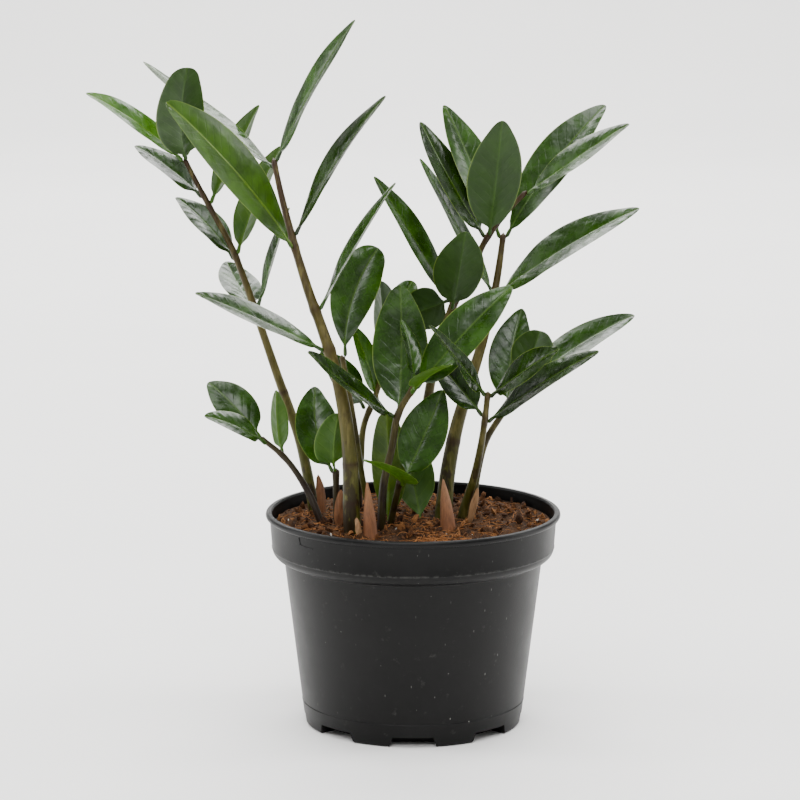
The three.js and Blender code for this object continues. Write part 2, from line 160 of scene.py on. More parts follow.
def joined(pieces: Sequence[bpy.types.Object], name: str) -> bpy.types.Object:
    """Joins pieces into the first of them.

    Args:
        pieces: the meshes to join.
        name: the joined piece's name.

    Returns:
        The joined piece.
    """
    deselect_all()
    for piece in pieces:
        piece.select_set(True)
    bpy.context.view_layer.objects.active = pieces[0]
    bpy.ops.object.join()
    return newest(name)


def copied(master: bpy.types.Object, name: str) -> bpy.types.Object:
    """Copies a piece together with its mesh."""
    twin = bpy.data.objects.new(name, master.data.copy())
    bpy.context.scene.collection.objects.link(twin)
    return twin


def loft(name: str, rings: int, around: int, place: Place) -> bpy.types.Object:
    """Adds a sphere and moves its points onto a closed surface between two poles.

    Args:
        name: the new piece's name.
        rings: bands from pole to pole.
        around: points in each ring.
        place: gives places for the shares from pole to pole and round each ring.

    Returns:
        The new piece, with its faces outwards.
    """
    deselect_all()
    bpy.ops.mesh.primitive_uv_sphere_add(segments=around, ring_count=rings, radius=1.0)
    piece = newest(name)
    ball = points_of(piece)
    along = np.arccos(np.clip(-ball[:, 2], -1.0, 1.0)) / math.pi
    along = np.round(along * rings) / rings
    turn = np.arctan2(ball[:, 1], ball[:, 0]) / (2 * math.pi) % 1.0
    turn = np.round(turn * around) / around % 1.0
    set_points(piece, place(along, turn))
    outward(piece, 1e-9)
    set_attribute(piece, "pole_share", along)
    set_attribute(piece, "ring_share", turn)
    return piece


def spun(name: str, outline: Sequence[tuple[float, float]], steps: int) -> bpy.types.Object:
    """Spins a closed outline of radius and height once round the Z axis.

    Args:
        name: the new piece's name.
        outline: the outline's corners as radius and height, in millimetres.
        steps: how many flats the turn has.

    Returns:
        The new closed piece.
    """
    deselect_all()
    bpy.ops.mesh.primitive_circle_add(vertices=len(outline), radius=1.0, fill_type="NOTHING")
    piece = newest(name)
    set_points(piece, np.array([(radius * MM, 0.0, height * MM) for radius, height in outline]))
    bpy.ops.object.mode_set(mode="EDIT")
    bpy.ops.mesh.select_all(action="SELECT")
    bpy.ops.mesh.spin(steps=steps, angle=2 * math.pi, center=(0, 0, 0), axis=(0, 0, 1))
    bpy.ops.object.mode_set(mode="OBJECT")
    outward(piece)
    return piece


def curve_through(knots: Points, shares: np.ndarray) -> Points:
    """Reads a smooth curve through evenly spaced knots.

    Args:
        knots: the points that the curve passes, one row each.
        shares: where to read it, from 0 at the first knot to 1 at the last.

    Returns:
        One row for each share.
    """
    knots = np.asarray(knots, float)
    padded = np.vstack([2 * knots[0] - knots[1], knots, 2 * knots[-1] - knots[-2]])
    spot = np.clip(np.asarray(shares, float), 0.0, 1.0) * (len(knots) - 1)
    index = np.minimum(spot.astype(int), len(knots) - 2)
    local = (spot - index)[:, None]
    p0, p1, p2, p3 = (padded[index + offset] for offset in range(4))
    return 0.5 * (
        2 * p1
        + (p2 - p0) * local
        + (2 * p0 - 5 * p1 + 4 * p2 - p3) * local**2
        + (3 * p1 - p0 - 3 * p2 + p3) * local**3
    )


def unit(vectors: Points) -> Points:
    """Scales each row to length 1."""
    return vectors / np.maximum(np.linalg.norm(vectors, axis=-1, keepdims=True), 1e-12)


def across_line(line: Points) -> tuple[Points, Points, Points]:
    """The direction of a line at each of its points and two directions square to it.

    Args:
        line: the line's points, one row each.

    Returns:
        The tangents, and two sets of directions that don't twist along the line.
    """
    tangents = unit(np.gradient(line, axis=0))
    side = unit(np.cross(tangents[0], [0.0, 1.0, 0.0]))
    sides = []
    for tangent in tangents:
        side = unit(side - tangent * (side @ tangent))
        sides.append(side)
    first = np.array(sides)
    return tangents, first, np.cross(tangents, first)


# ---------------------------------------------------------------- reading the frame


def merged_mesh(node: str) -> tuple[Points, dict[int, set[int]]]:
    """A CAD node's points with doubled ones made one, and each point's neighbours.

    Args:
        node: the CAD node's name.

    Returns:
        The places in metres, and each point's neighbours by number.
    """
    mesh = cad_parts[node].data
    flat = np.zeros(len(mesh.vertices) * 3)
    mesh.vertices.foreach_get("co", flat)
    keys: dict[tuple[int, ...], int] = {}
    number = []
    places = []
    for place in flat.reshape(-1, 3):
        key = tuple(np.round(place / 2e-6).astype(int))
        if key not in keys:
            keys[key] = len(places)
            places.append(place)
        number.append(keys[key])
    near: dict[int, set[int]] = {i: set() for i in range(len(places))}
    for edge in mesh.edges:
        a, b = (number[i] for i in edge.vertices)
        if a != b:
            near[a].add(b)
            near[b].add(a)
    return np.array(places), near


def levels_from(starts: Iterable[int], near: dict[int, set[int]]) -> list[list[int]]:
    """Groups a mesh's points by how many edges they are from some of them."""
    seen = set(starts)
    levels = [sorted(seen)]
    while levels[-1]:
        ring = {n for i in levels[-1] for n in near[i]} - seen
        seen |= ring
        levels.append(sorted(ring))
    return levels[:-1]


@dataclass
class StemLine:
    """A stem's middle line and radii, read from its CAD node from the tip down."""

    node: str
    line: Points = field(init=False)
    radii: np.ndarray = field(init=False)

    def __post_init__(self) -> None:
        """Reads the rings of the CAD stem, and turns them to run from foot to tip."""
        places, near = merged_mesh(self.node)
        top = int(np.argmax(places[:, 2]))
        reach = 6 * MM
        cap = [i for i in range(len(places)) if np.linalg.norm(places[i] - places[top]) < reach]
        rings = []
        for level in levels_from(cap, near):
            if len(level) != len(cap):
                break
            rings.append(places[level])
        middles = np.array([ring.mean(axis=0) for ring in rings])[::-1]
        radii = [np.linalg.norm(ring - ring.mean(axis=0), axis=1).mean() for ring in rings]
        self.line = middles
        self.radii = np.array(radii)[::-1]

    def nearest(self, place: Points) -> Points:
        """The point of the stem's middle line that is nearest to a place."""
        fine = curve_through(self.line, np.linspace(0, 1, 200))
        return fine[np.argmin(np.linalg.norm(fine - place, axis=1))]


@dataclass
class BladeCage:
    """A leaflet's midrib, edges and upward direction at even steps from stalk to tip."""

    rib: Points
    left: Points
    right: Points
    up: Points

    @property
    def length(self) -> float:
        """The distance from stalk to tip, in metres."""
        return float(np.linalg.norm(self.rib[-1] - self.rib[0]))

    @classmethod
    def from_node(cls, node: str, root: Points) -> "BladeCage":
        """Reads a CAD leaflet.

        Args:
            node: the CAD leaflet's name.
            root: a place near the leaflet's stalk.

        Returns:
            The leaflet's cage, with its stalk first.
        """
        places, near = merged_mesh(node)
        gaps = np.linalg.norm(places[:, None] - places[None], axis=2)
        a, b = np.unravel_index(np.argmax(gaps), gaps.shape)
        if np.linalg.norm(places[a] - root) > np.linalg.norm(places[b] - root):
            a, b = b, a
        levels = levels_from([int(a)], near)
        rings = [places[cls._in_order(level, near)] for level in levels[1:-1]]
        widest = max(range(len(rings)), key=lambda i: np.ptp(rings[i], axis=0).max())
        rings[widest] = cls._edges_first(rings[widest])
        for step in (1, -1):
            index = widest + step
            while 0 <= index < len(rings):
                rings[index] = cls._aligned(rings[index], rings[index - step])
                index += step
        table = np.array(rings)
        left, rib, right, keel = (table[:, i] for i in (0, 2, 4, 5))
        up = unit(rib - keel)
        along = unit(places[b] - places[a])
        if np.cross(along, up[widest]) @ (right - left)[widest] < 0:
            left, right = right, left
        ends = [places[a][None], places[b][None]]
        edged = [np.vstack([ends[0], edge, ends[1]]) for edge in (rib, left, right)]
        return cls(*edged, np.vstack([up[:1], up, up[-1:]]))

    @classmethod
    def drawn(cls, start: Sequence[float], tip: Sequence[float], up: Sequence[float], width: float,
              blunt: float = 0.0, arch: float = 2.0) -> "BladeCage":
        """Draws a leaf that the CAD model leaves out.

        Args:
            start: where the stalk begins, in millimetres.
            tip: the leaf's tip, in millimetres.
            up: the way that the upper side faces.
            width: the blade's width in millimetres.
            blunt: 0 for a pointed tip, 1 for a round one.
            arch: how far the middle bulges to the upper side, in millimetres.

        Returns:
            The leaf's cage.
        """
        a, b = (np.array(end, float) * MM for end in (start, tip))
        along = unit(b - a)
        facing = np.array(up, float)
        facing = unit(facing - along * (facing @ along))
        sideways = np.cross(along, facing)
        shares = np.linspace(0, 1, 10)
        body = np.clip((shares - 0.06) / 0.94, 0, 1)
        outline = (4 * body * (1 - body)) ** (0.8 - 0.45 * blunt * shares) * width / 2 * MM
        rib = a + (b - a) * shares[:, None] + facing * (arch * MM * 4 * shares * (1 - shares))[:, None]
        fold = facing * (0.22 * outline)[:, None]
        left = rib - sideways * outline[:, None] + fold
        right = rib + sideways * outline[:, None] + fold
        return cls(rib, left, right, np.tile(facing, (10, 1)))

    def offsets(self, edge: Points, shares: np.ndarray) -> Points:
        """The way from the midrib to one edge, with a tip as round as the outline before it.

        Args:
            edge: the edge's points.
            shares: where to read it, from stalk to tip.

        Returns:
            One row for each share.
        """
        ways = edge - self.rib
        widths = np.linalg.norm(ways, axis=1)
        last = len(ways) - 2
        slope = (widths[last - 1] - widths[last]) / widths[last]
        flow = ways.copy()
        flow[-1] = ways[last] * max(0.1, 1 - 1.4 * slope)
        smooth_ways = curve_through(flow, shares)
        beyond = np.clip(shares * (last + 1) - last, 0.0, 1.0)[:, None]
        power = min(1.0, max(0.5, slope))
        rounded = ways[last] * (1 + (power - slope) * beyond) * (1 - beyond) ** power
        return np.where(beyond > 0, rounded, smooth_ways)

    @staticmethod
    def _in_order(level: list[int], near: dict[int, set[int]]) -> list[int]:
        """Walks round a ring of points."""
        inside = set(level)
        walk = [level[0]]
        while len(walk) < len(level):
            onward = [n for n in near[walk[-1]] if n in inside and n not in walk]
            walk.append(onward[0])
        return walk

    @staticmethod
    def _edges_first(ring: Points) -> Points:
        """Turns a ring so that it runs edge, three upper points, edge, keel."""
        gaps = np.linalg.norm(ring[:, None] - ring[None], axis=2)
        a, b = sorted(np.unravel_index(np.argmax(gaps), gaps.shape))
        start = a if b - a == 4 else b
        return np.roll(ring, -start, axis=0)

    @staticmethod
    def _aligned(ring: Points, pattern: Points) -> Points:
        """Turns or reverses a ring so that its points match its neighbour's."""
        shift = pattern.mean(axis=0) - ring.mean(axis=0)
        spread = np.linalg.norm(pattern - pattern.mean(axis=0), axis=1).mean()
        own = np.linalg.norm(ring - ring.mean(axis=0), axis=1).mean()
        scaled = (ring - ring.mean(axis=0)) * spread / own + ring.mean(axis=0) + shift
        best = None
        for order in (1, -1):
            for turn in range(len(ring)):
                tried = np.roll(scaled[::order], turn, axis=0)
                error = np.linalg.norm(tried - pattern, axis=1).sum()
                if best is None or error < best[0]:
                    best = (error, np.roll(ring[::order], turn, axis=0))
        return best[1]


# ---------------------------------------------------------------- finishes


def linear(code: str) -> tuple[float, float, float, float]:
    """Turns an sRGB hex colour to the linear colour that a shader takes."""
    channels = [int(code[i : i + 2], 16) / 255 for i in (1, 3, 5)]
    light = [c / 12.92 if c <= 0.04045 else ((c + 0.055) / 1.055) ** 2.4 for c in channels]
    return (*light, 1.0)


def per_mm(size: float) -> float:
    """The scale at which a pattern's patches are about size millimetres across."""
    return 1.0 / (size * MM)


SMOOTH = {"interpolation_type": "SMOOTHSTEP"}
COLOUR = {"data_type": "RGBA"}
ADD, SUBTRACT, MULTIPLY, DIVIDE, MAXIMUM, ABSOLUTE, FRACT = (
    {"operation": name}
    for name in ("ADD", "SUBTRACT", "MULTIPLY", "DIVIDE", "MAXIMUM", "ABSOLUTE", "FRACT")
)


class Surface:
    """One material's node tree, which grows a node at a time."""

    def __init__(self, name: str) -> None:
        """Starts a material with an empty tree and the object's coordinates.

        Args:
            name: the material's name.
        """
        self.material = bpy.data.materials.new(name)
        self.material.use_nodes = True
        self.material.node_tree.nodes.clear()
        self.place = self.add("TexCoord", out="Object")

    def add(self, kind: str, settings: dict[str, Any] | None = None, *values: Any, out: int | str = 0,
            **named: Any) -> bpy.types.NodeSocket:
        """Adds a shader node with its settings, and sets or links its inputs.

        Args:
            kind: the node's kind, without the ShaderNode at its front.
            settings: the node's properties and their values.
            values: its open inputs in order, each a value, a hex colour or another node's output.
            out: which of its open outputs to return, by number or name.
            named: inputs by name, with values as above.

        Returns:
            The output.
        """
        tree = self.material.node_tree
        node = tree.nodes.new("ShaderNode" + kind)
        for key, value in (settings or {}).items():
            setattr(node, key, value)
        inputs = list(zip((socket for socket in node.inputs if socket.enabled), values))
        for socket, value in inputs + [(node.inputs[key], value) for key, value in named.items()]:
            if isinstance(value, bpy.types.NodeSocket):
                tree.links.new(value, socket)
            else:
                socket.default_value = linear(value) if isinstance(value, str) else value
        if isinstance(out, str):
            return node.outputs[out]
        return [socket for socket in node.outputs if socket.enabled][out] if node.outputs else None

    def numbers(self, *names: str) -> list[bpy.types.NodeSocket]:
        """The numbers that each point of the piece holds under some names."""
        return [self.add("Attribute", {"attribute_name": name}, out="Fac") for name in names]

    def shade(self, inputs: dict[str, Any]) -> bpy.types.Material:
        """Ends the tree with a principled shader.

        Args:
            inputs: the shader's inputs by name.

        Returns:
            The finished material.
        """
        self.add("OutputMaterial", None, self.add("BsdfPrincipled", None, **inputs))
        return self.material


@dataclass(frozen=True)
class LeafFinish:
    """Waxy zz leaf: a deep green upper side with a hard gloss, and a plainer, yellower underside.

    The wax gives broad grey reflections that the puckered skin between the veins breaks up.
    """

    name: str
    deep: str
    bright: str
    under: str
    under_vein: str
    rib: str = "#5f7d2c"
    margin: str = "#74883a"
    vein_spacing: float = 6.5
    wax: float = 0.3

    def make(self) -> bpy.types.Material:
        """Makes the leaf's material.

        Returns:
            The material, which reads the leaf's own numbers.
        """
        s = Surface(self.name)
        along, across, side, edge = s.numbers("along_mm", "across_mm", "upper_side", "edge_share")
        out = s.add("Math", ABSOLUTE, across)
        wander = s.add("TexNoise", None, s.place, per_mm(16.0), 2.0, 0.5)
        slant = s.add("Math", SUBTRACT, along, s.add("Math", MULTIPLY, out, 0.95))
        slant = s.add("Math", ADD, slant, s.add("Math", MULTIPLY, wander, 5.0))
        cycle = s.add("Math", FRACT, s.add("Math", DIVIDE, slant, self.vein_spacing))
        from_vein = s.add("Math", ABSOLUTE, s.add("Math", SUBTRACT, cycle, 0.5))
        vein = s.add("MapRange", SMOOTH, from_vein, 0.40, 0.5)
        vein = s.add("Math", MULTIPLY, vein, s.add("MapRange", SMOOTH, edge, 0.98, 0.55))
        rib = s.add("MapRange", SMOOTH, out, 0.95, 0.25)
        patches = s.add("TexNoise", None, s.place, per_mm(14.0), 3.0, 0.55)
        flecks = s.add("TexNoise", None, s.place, per_mm(2.2), 3.0, 0.6)
        upper = s.add("Mix", COLOUR, s.add("MapRange", SMOOTH, patches, 0.35, 0.7), self.deep, self.bright)
        fleck = s.add("MapRange", SMOOTH, flecks, 0.58, 0.75, 0.0, 0.25)
        upper = s.add("Mix", COLOUR, fleck, upper, self.bright)
        upper = s.add("Mix", COLOUR, s.add("Math", MULTIPLY, vein, 0.3), upper, self.deep)
        upper = s.add("Mix", COLOUR, s.add("Math", MULTIPLY, rib, 0.4), upper, self.rib)
        shaded = s.add("MapRange", SMOOTH, patches, 0.35, 0.7, 0.0, 0.75)
        lower = s.add("Mix", COLOUR, shaded, self.under, self.deep)
        fine = s.add("MapRange", SMOOTH, from_vein, 0.46, 0.5, 0.0, 0.4)
        lower = s.add("Mix", COLOUR, fine, lower, self.under_vein)
        lower = s.add("Mix", COLOUR, s.add("Math", MULTIPLY, rib, 0.5), lower, self.under_vein)
        colour = s.add("Mix", COLOUR, side, lower, upper)
        rim = s.add("MapRange", SMOOTH, edge, 0.955, 0.99, 0.0, 0.6)
        colour = s.add("Mix", COLOUR, rim, colour, self.margin)
        film = s.add("TexNoise", None, s.place, per_mm(6.0), 3.0, 0.6)
        gloss = s.add("MapRange", SMOOTH, film, 0.35, 0.7, self.wax - 0.06, self.wax + 0.1)
        rough = s.add("Mix", None, side, 0.5, gloss)
        pucker = s.add("TexNoise", None, s.place, per_mm(4.8), 0.7, 0.4, Distortion=0.5)
        swell = s.add("TexNoise", None, s.place, per_mm(9.5), 0.0, 0.5, Distortion=0.3)
        pucker, swell = s.add("Math", MULTIPLY, pucker, 0.42), s.add("Math", MULTIPLY, swell, 1.2)
        relief = s.add("Math", ADD, pucker, swell)
        relief = s.add("Math", SUBTRACT, relief, s.add("Math", MULTIPLY, vein, 0.09))
        relief = s.add("Math", SUBTRACT, relief, s.add("Math", MULTIPLY, rib, 0.22))
        return s.shade({
            "Base Color": colour,
            "Roughness": rough,
            "IOR": 1.48,
            "Specular IOR Level": 0.32,
            "Coat Weight": s.add("Math", MULTIPLY, side, 0.13),
            "Coat Roughness": 0.1,
            "Coat IOR": 1.5,
            "Normal": s.add("Bump", None, Height=relief, Distance=0.85 * MM, Strength=0.8),
        })


class LeafTone(Enum):
    """The greens that the plant's leaves come in, by age and by how they face the light."""

    DEEP = LeafFinish("waxy_leaf_deep", "#0d1d00", "#1c3402", "#1c2d00", "#2c400a", "#46601a", wax=0.24)
    MIDDLE = LeafFinish("waxy_leaf_middle", "#162e00", "#29480a", "#203c00", "#304e0c", "#4a6620", wax=0.27)
    FRESH = LeafFinish("waxy_leaf_fresh", "#234500", "#385f02", "#335200", "#4a6a12", "#5b7a22", wax=0.32)
    OLIVE = LeafFinish("waxy_leaf_olive", "#233c00", "#325200", "#3e5700", "#58720f", "#6a8428", wax=0.4)


@dataclass(frozen=True)
class StemFinish:
    """Smooth zz stem: olive and mottled at the foot, browner towards the tip, with leaf scars.

    Its thin skin gives a soft satin streak along the stem.
    """

    name: str = "smooth_stem_skin"
    foot: str = "#3b3d0b"
    middle: str = "#453e18"
    tip: str = "#2f1f0c"
    dark: str = "#1c0e05"
    scar: str = "#241106"
    pale: str = "#6b6236"

    def make(self) -> bpy.types.Material:
        """Makes the stem's material.

        Returns:
            The material, which reads the stem's rise and its scars.
        """
        s = Surface(self.name)
        rise, scar, darker_foot = s.numbers("rise", "scar", "darker_foot")
        drawn_out, longer, long = (
            s.add("Mapping", None, s.place, Scale=(1.0, 1.0, share)) for share in (0.12, 0.5, 0.4)
        )
        streaks = s.add("TexNoise", None, drawn_out, per_mm(3.0), 4.0, 0.6)
        blots = s.add("TexNoise", None, longer, per_mm(7.0), 3.0, 0.6)
        colour = s.add("Mix", COLOUR, s.add("MapRange", SMOOTH, rise, 0.05, 0.4), self.foot, self.middle)
        colour = s.add("Mix", COLOUR, s.add("MapRange", SMOOTH, rise, 0.45, 0.95), colour, self.tip)
        streaked = s.add("MapRange", SMOOTH, streaks, 0.46, 0.68, 0.0, 0.5)
        colour = s.add("Mix", COLOUR, streaked, colour, self.pale)
        low = s.add("MapRange", SMOOTH, rise, 0.42, 0.0, 0.25, 0.92)
        blotched = s.add("Math", MULTIPLY, s.add("MapRange", SMOOTH, blots, 0.5, 0.6), low)
        colour = s.add("Mix", COLOUR, blotched, colour, self.dark)
        specks = s.add("MapRange", SMOOTH, s.add("TexVoronoi", None, long, per_mm(3.0)), 0.16, 0.08)
        colour = s.add("Mix", COLOUR, s.add("Math", MULTIPLY, specks, 0.3), colour, self.dark)
        colour = s.add("Mix", COLOUR, s.add("Math", MULTIPLY, scar, 0.85), colour, self.scar)
        # darker towards the foot: on the stems listed in main the colour darkens from mid-height down to
        # the coir
        darker_foot = s.add("Math", MULTIPLY, darker_foot, s.add("MapRange", SMOOTH, rise, 0.55, 0.05))
        colour = s.add("Mix", COLOUR, darker_foot, colour, self.dark)
        grooves, dents = s.add("Math", MULTIPLY, streaks, 0.5), s.add("Math", MULTIPLY, blots, 0.3)
        relief = s.add("Math", ADD, grooves, dents)
        return s.shade({
            "Base Color": colour,
            "Roughness": s.add("MapRange", SMOOTH, streaks, 0.3, 0.7, 0.4, 0.55),
            "Specular IOR Level": 0.22,
            "Normal": s.add("Bump", None, Height=relief, Distance=0.35 * MM, Strength=0.6),
        })


@dataclass(frozen=True)
class SheathFinish:
    """Dry papery sheath: red-brown with fine upright fibres and bleached edges."""

    name: str = "papery_sheath"
    dark: str = "#4c2a14"
    light: str = "#865633"
    bleached: str = "#b08d66"

    def make(self) -> bpy.types.Material:
        """Makes the sheath's material.

        Returns:
            The material.
        """
        s = Surface(self.name)
        upright = s.add("Mapping", None, s.place, Scale=(1.0, 1.0, 0.07))
        fibres = s.add("TexNoise", None, upright, per_mm(1.2), 5.0, 0.7)
        clouds = s.add("TexNoise", None, s.place, per_mm(9.0), 3.0, 0.6)
        threads = s.add("MapRange", SMOOTH, fibres, 0.3, 0.7, 0.3, 1.0)
        colour = s.add("Mix", COLOUR, threads, self.dark, self.light)
        shaded = s.add("MapRange", SMOOTH, clouds, 0.55, 0.8, 0.0, 0.3)
        colour = s.add("Mix", COLOUR, shaded, colour, self.dark)
        worn = s.add("Math", MULTIPLY, *s.numbers("fray"), 0.7)
        colour = s.add("Mix", COLOUR, worn, colour, self.bleached)
        return s.shade({
            "Base Color": colour,
            "Roughness": 0.72,
            "Normal": s.add("Bump", None, Height=fibres, Distance=0.4 * MM, Strength=0.7),
        })


@dataclass(frozen=True)
class CoirFinish:
    """Coarse coir: crumbled husk, matt all over, in red and dark browns with a paler fleck."""

    name: str
    dark: str = "#160b05"
    mid: str = "#3e2713"
    light: str = "#7e5632"
    patch: float = 5.0

    def make(self) -> bpy.types.Material:
        """Makes the coir's material.

        Returns:
            The material.
        """
        s = Surface(self.name)
        patches = s.add("TexNoise", None, s.place, per_mm(self.patch), 4.0, 0.7)
        grit = s.add("TexNoise", None, s.place, per_mm(0.9), 4.0, 0.7)
        colour = s.add("Mix", COLOUR, s.add("MapRange", SMOOTH, patches, 0.32, 0.58), self.dark, self.mid)
        flecks = s.add("MapRange", SMOOTH, grit, 0.52, 0.72, 0.0, 0.7)
        colour = s.add("Mix", COLOUR, flecks, colour, self.light)
        lumps, grit = s.add("Math", MULTIPLY, patches, 0.6), s.add("Math", MULTIPLY, grit, 0.5)
        relief = s.add("Math", ADD, lumps, grit)
        return s.shade({
            "Base Color": colour,
            "Roughness": 0.95,
            "Specular IOR Level": 0.2,
            "Normal": s.add("Bump", None, Height=relief, Distance=1.2 * MM, Strength=0.9),
        })


@dataclass(frozen=True)
class PerliteFinish:
    """Perlite: white puffed volcanic glass, matt and pitted."""

    name: str = "perlite"
    white: str = "#d9d6cc"
    grey: str = "#a9a498"

    def make(self) -> bpy.types.Material:
        """Makes the perlite's material.

        Returns:
            The material.
        """
        s = Surface(self.name)
        pits = s.add("TexNoise", None, s.place, per_mm(0.8), 3.0, 0.6)
        puffed = s.add("MapRange", SMOOTH, pits, 0.35, 0.65)
        return s.shade({
            "Base Color": s.add("Mix", COLOUR, puffed, self.grey, self.white),
            "Roughness": 0.9,
            "Normal": s.add("Bump", None, Height=pits, Distance=0.3 * MM, Strength=0.6),
        })


@dataclass(frozen=True)
class PotFinish:
    """Moulded recycled polypropylene: black with a satin sheen, scuffs, dust and fine grain, and a painted
    highlight line, mixed with dust, along the collar's lower edge.
    """

    name: str = "moulded_black_polypropylene"
    black: str = "#050505"
    worn: str = "#0b0b0b"
    # grey of the dust, also the colour of the painted highlight line along the collar's lower edge
    dust_and_highlight_grey: str = "#7d7c78"
    edge: float = 103.5

    def make(self) -> bpy.types.Material:
        """Makes the pot's material.

        Returns:
            The material.
        """
        s = Surface(self.name)
        clouds = s.add("TexNoise", None, s.place, per_mm(38.0), 4.0, 0.6)
        grain = s.add("TexNoise", None, s.place, per_mm(0.7), 2.0, 0.5)
        colour = s.add("Mix", COLOUR, s.add("MapRange", SMOOTH, clouds, 0.35, 0.7), self.black, self.worn)
        axes = s.add("SeparateXYZ", None, s.place).node.outputs
        height, right = axes["Z"], axes["X"]
        low = s.add("MapRange", SMOOTH, height, 0.06, 0.01, 0.25, 1.0)
        rightward = s.add("MapRange", SMOOTH, right, -0.03, 0.05, 0.3, 1.0)
        where = s.add("Math", MULTIPLY, low, rightward)
        turned = s.add("Mapping", None, s.place, Rotation=(0.4, 0.7, 0.2), Scale=(1.0, 1.0, 0.35))
        lint = s.add("TexVoronoi", None, turned, per_mm(4.2))
        speck = s.add("MapRange", SMOOTH, lint, 0.085, 0.05)
        chosen = s.add("SeparateColor", None, lint.node.outputs["Color"])
        speck = s.add("Math", MULTIPLY, speck, s.add("MapRange", SMOOTH, chosen, 0.4, 0.55))
        speck = s.add("Math", MULTIPLY, speck, where)
        dots = s.add("TexVoronoi", None, s.place, per_mm(9.0))
        dots = s.add("MapRange", SMOOTH, dots, 0.04, 0.025, 0.0, 0.35)
        film = s.add("TexNoise", None, s.place, per_mm(6.0), 5.0, 0.7)
        film = s.add("MapRange", SMOOTH, film, 0.6, 0.8, 0.0, 0.12)
        # painted highlight: a broken grey line along the collar's lower edge stands for the light on that
        # edge, together with dust there
        edge_dust_and_highlight = s.add("Math", ABSOLUTE, s.add("Math", SUBTRACT, height, self.edge * MM))
        edge_dust_and_highlight = s.add("MapRange", SMOOTH, edge_dust_and_highlight, 0.0011, 0.0, 0.0, 0.11)
        broken = s.add("TexNoise", None, s.place, per_mm(3.0), 3.0, 0.7)
        edge_dust_and_highlight = s.add("Math", MULTIPLY, edge_dust_and_highlight, s.add("MapRange", SMOOTH, broken, 0.4, 0.6))
        # dust specks, dust film and the painted edge highlight share one grey and a rougher finish
        dust_and_highlight_mask = s.add("Math", MAXIMUM, speck, dots)
        dust_and_highlight_mask = s.add("Math", MAXIMUM, dust_and_highlight_mask, s.add("Math", MAXIMUM, film, edge_dust_and_highlight))
        colour = s.add("Mix", COLOUR, dust_and_highlight_mask, colour, self.dust_and_highlight_grey)
        rough = s.add("MapRange", SMOOTH, clouds, 0.3, 0.7, 0.38, 0.46)
        rough = s.add("Math", ADD, rough, s.add("Math", MULTIPLY, dust_and_highlight_mask, 0.3))
        return s.shade({
            "Base Color": colour,
            "Roughness": rough,
            "IOR": 1.49,
            "Specular IOR Level": 0.17,
            "Normal": s.add("Bump", None, Height=grain, Distance=0.1 * MM, Strength=0.4),
        })


@dataclass(frozen=True)
class RhizomeFinish:
    """Rhizome skin: corky, tan, with darker rings."""

    name: str = "corky_rhizome_skin"
    tan: str = "#a9855a"
    dark: str = "#6d4c2c"

    def make(self) -> bpy.types.Material:
        """Makes the rhizome's material.

        Returns:
            The material.
        """
        s = Surface(self.name)
        flat = s.add("Mapping", None, s.place, Scale=(0.4, 0.4, 1.5))
        rings = s.add("TexNoise", None, flat, per_mm(4.0), 4.0, 0.6)
        banded = s.add("MapRange", SMOOTH, rings, 0.4, 0.65)
        return s.shade({
            "Base Color": s.add("Mix", COLOUR, banded, self.dark, self.tan),
            "Roughness": 0.8,
            "Normal": s.add("Bump", None, Height=rings, Distance=0.5 * MM, Strength=0.6),
        })


@dataclass(frozen=True)
class FloorFinish:
    """Matt white paper sweep."""

    name: str = "paper_sweep"
    white: str = "#f4f3f1"
    bright: str = "#fbfaf8"

    def make(self) -> bpy.types.Material:
        """Makes the floor's material.

        Returns:
            The material.
        """
        s = Surface(self.name)
        clouds = s.add("TexNoise", None, s.place, per_mm(300.0), 2.0, 0.5)
        shade = s.add("Mix", COLOUR, clouds, self.white, self.bright)
        return s.shade({"Base Color": shade, "Roughness": 0.85, "Specular IOR Level": 0.2})


def dress(piece: bpy.types.Object, material: bpy.types.Material, slot: str, *nodes: str) -> None:
    """Gives a finished piece its material and its place in the frame.

    Args:
        piece: the finished mesh.
        material: what it is made of.
        slot: not used.
        nodes: the CAD nodes that it stands for.
    """
    piece.data.materials.clear()
    piece.data.materials.append(material)
    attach(piece, "root")
    if nodes:
        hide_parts(*nodes)
    LOG.info("%s: %d faces", piece.name, len(piece.data.polygons))


# ---------------------------------------------------------------- pot


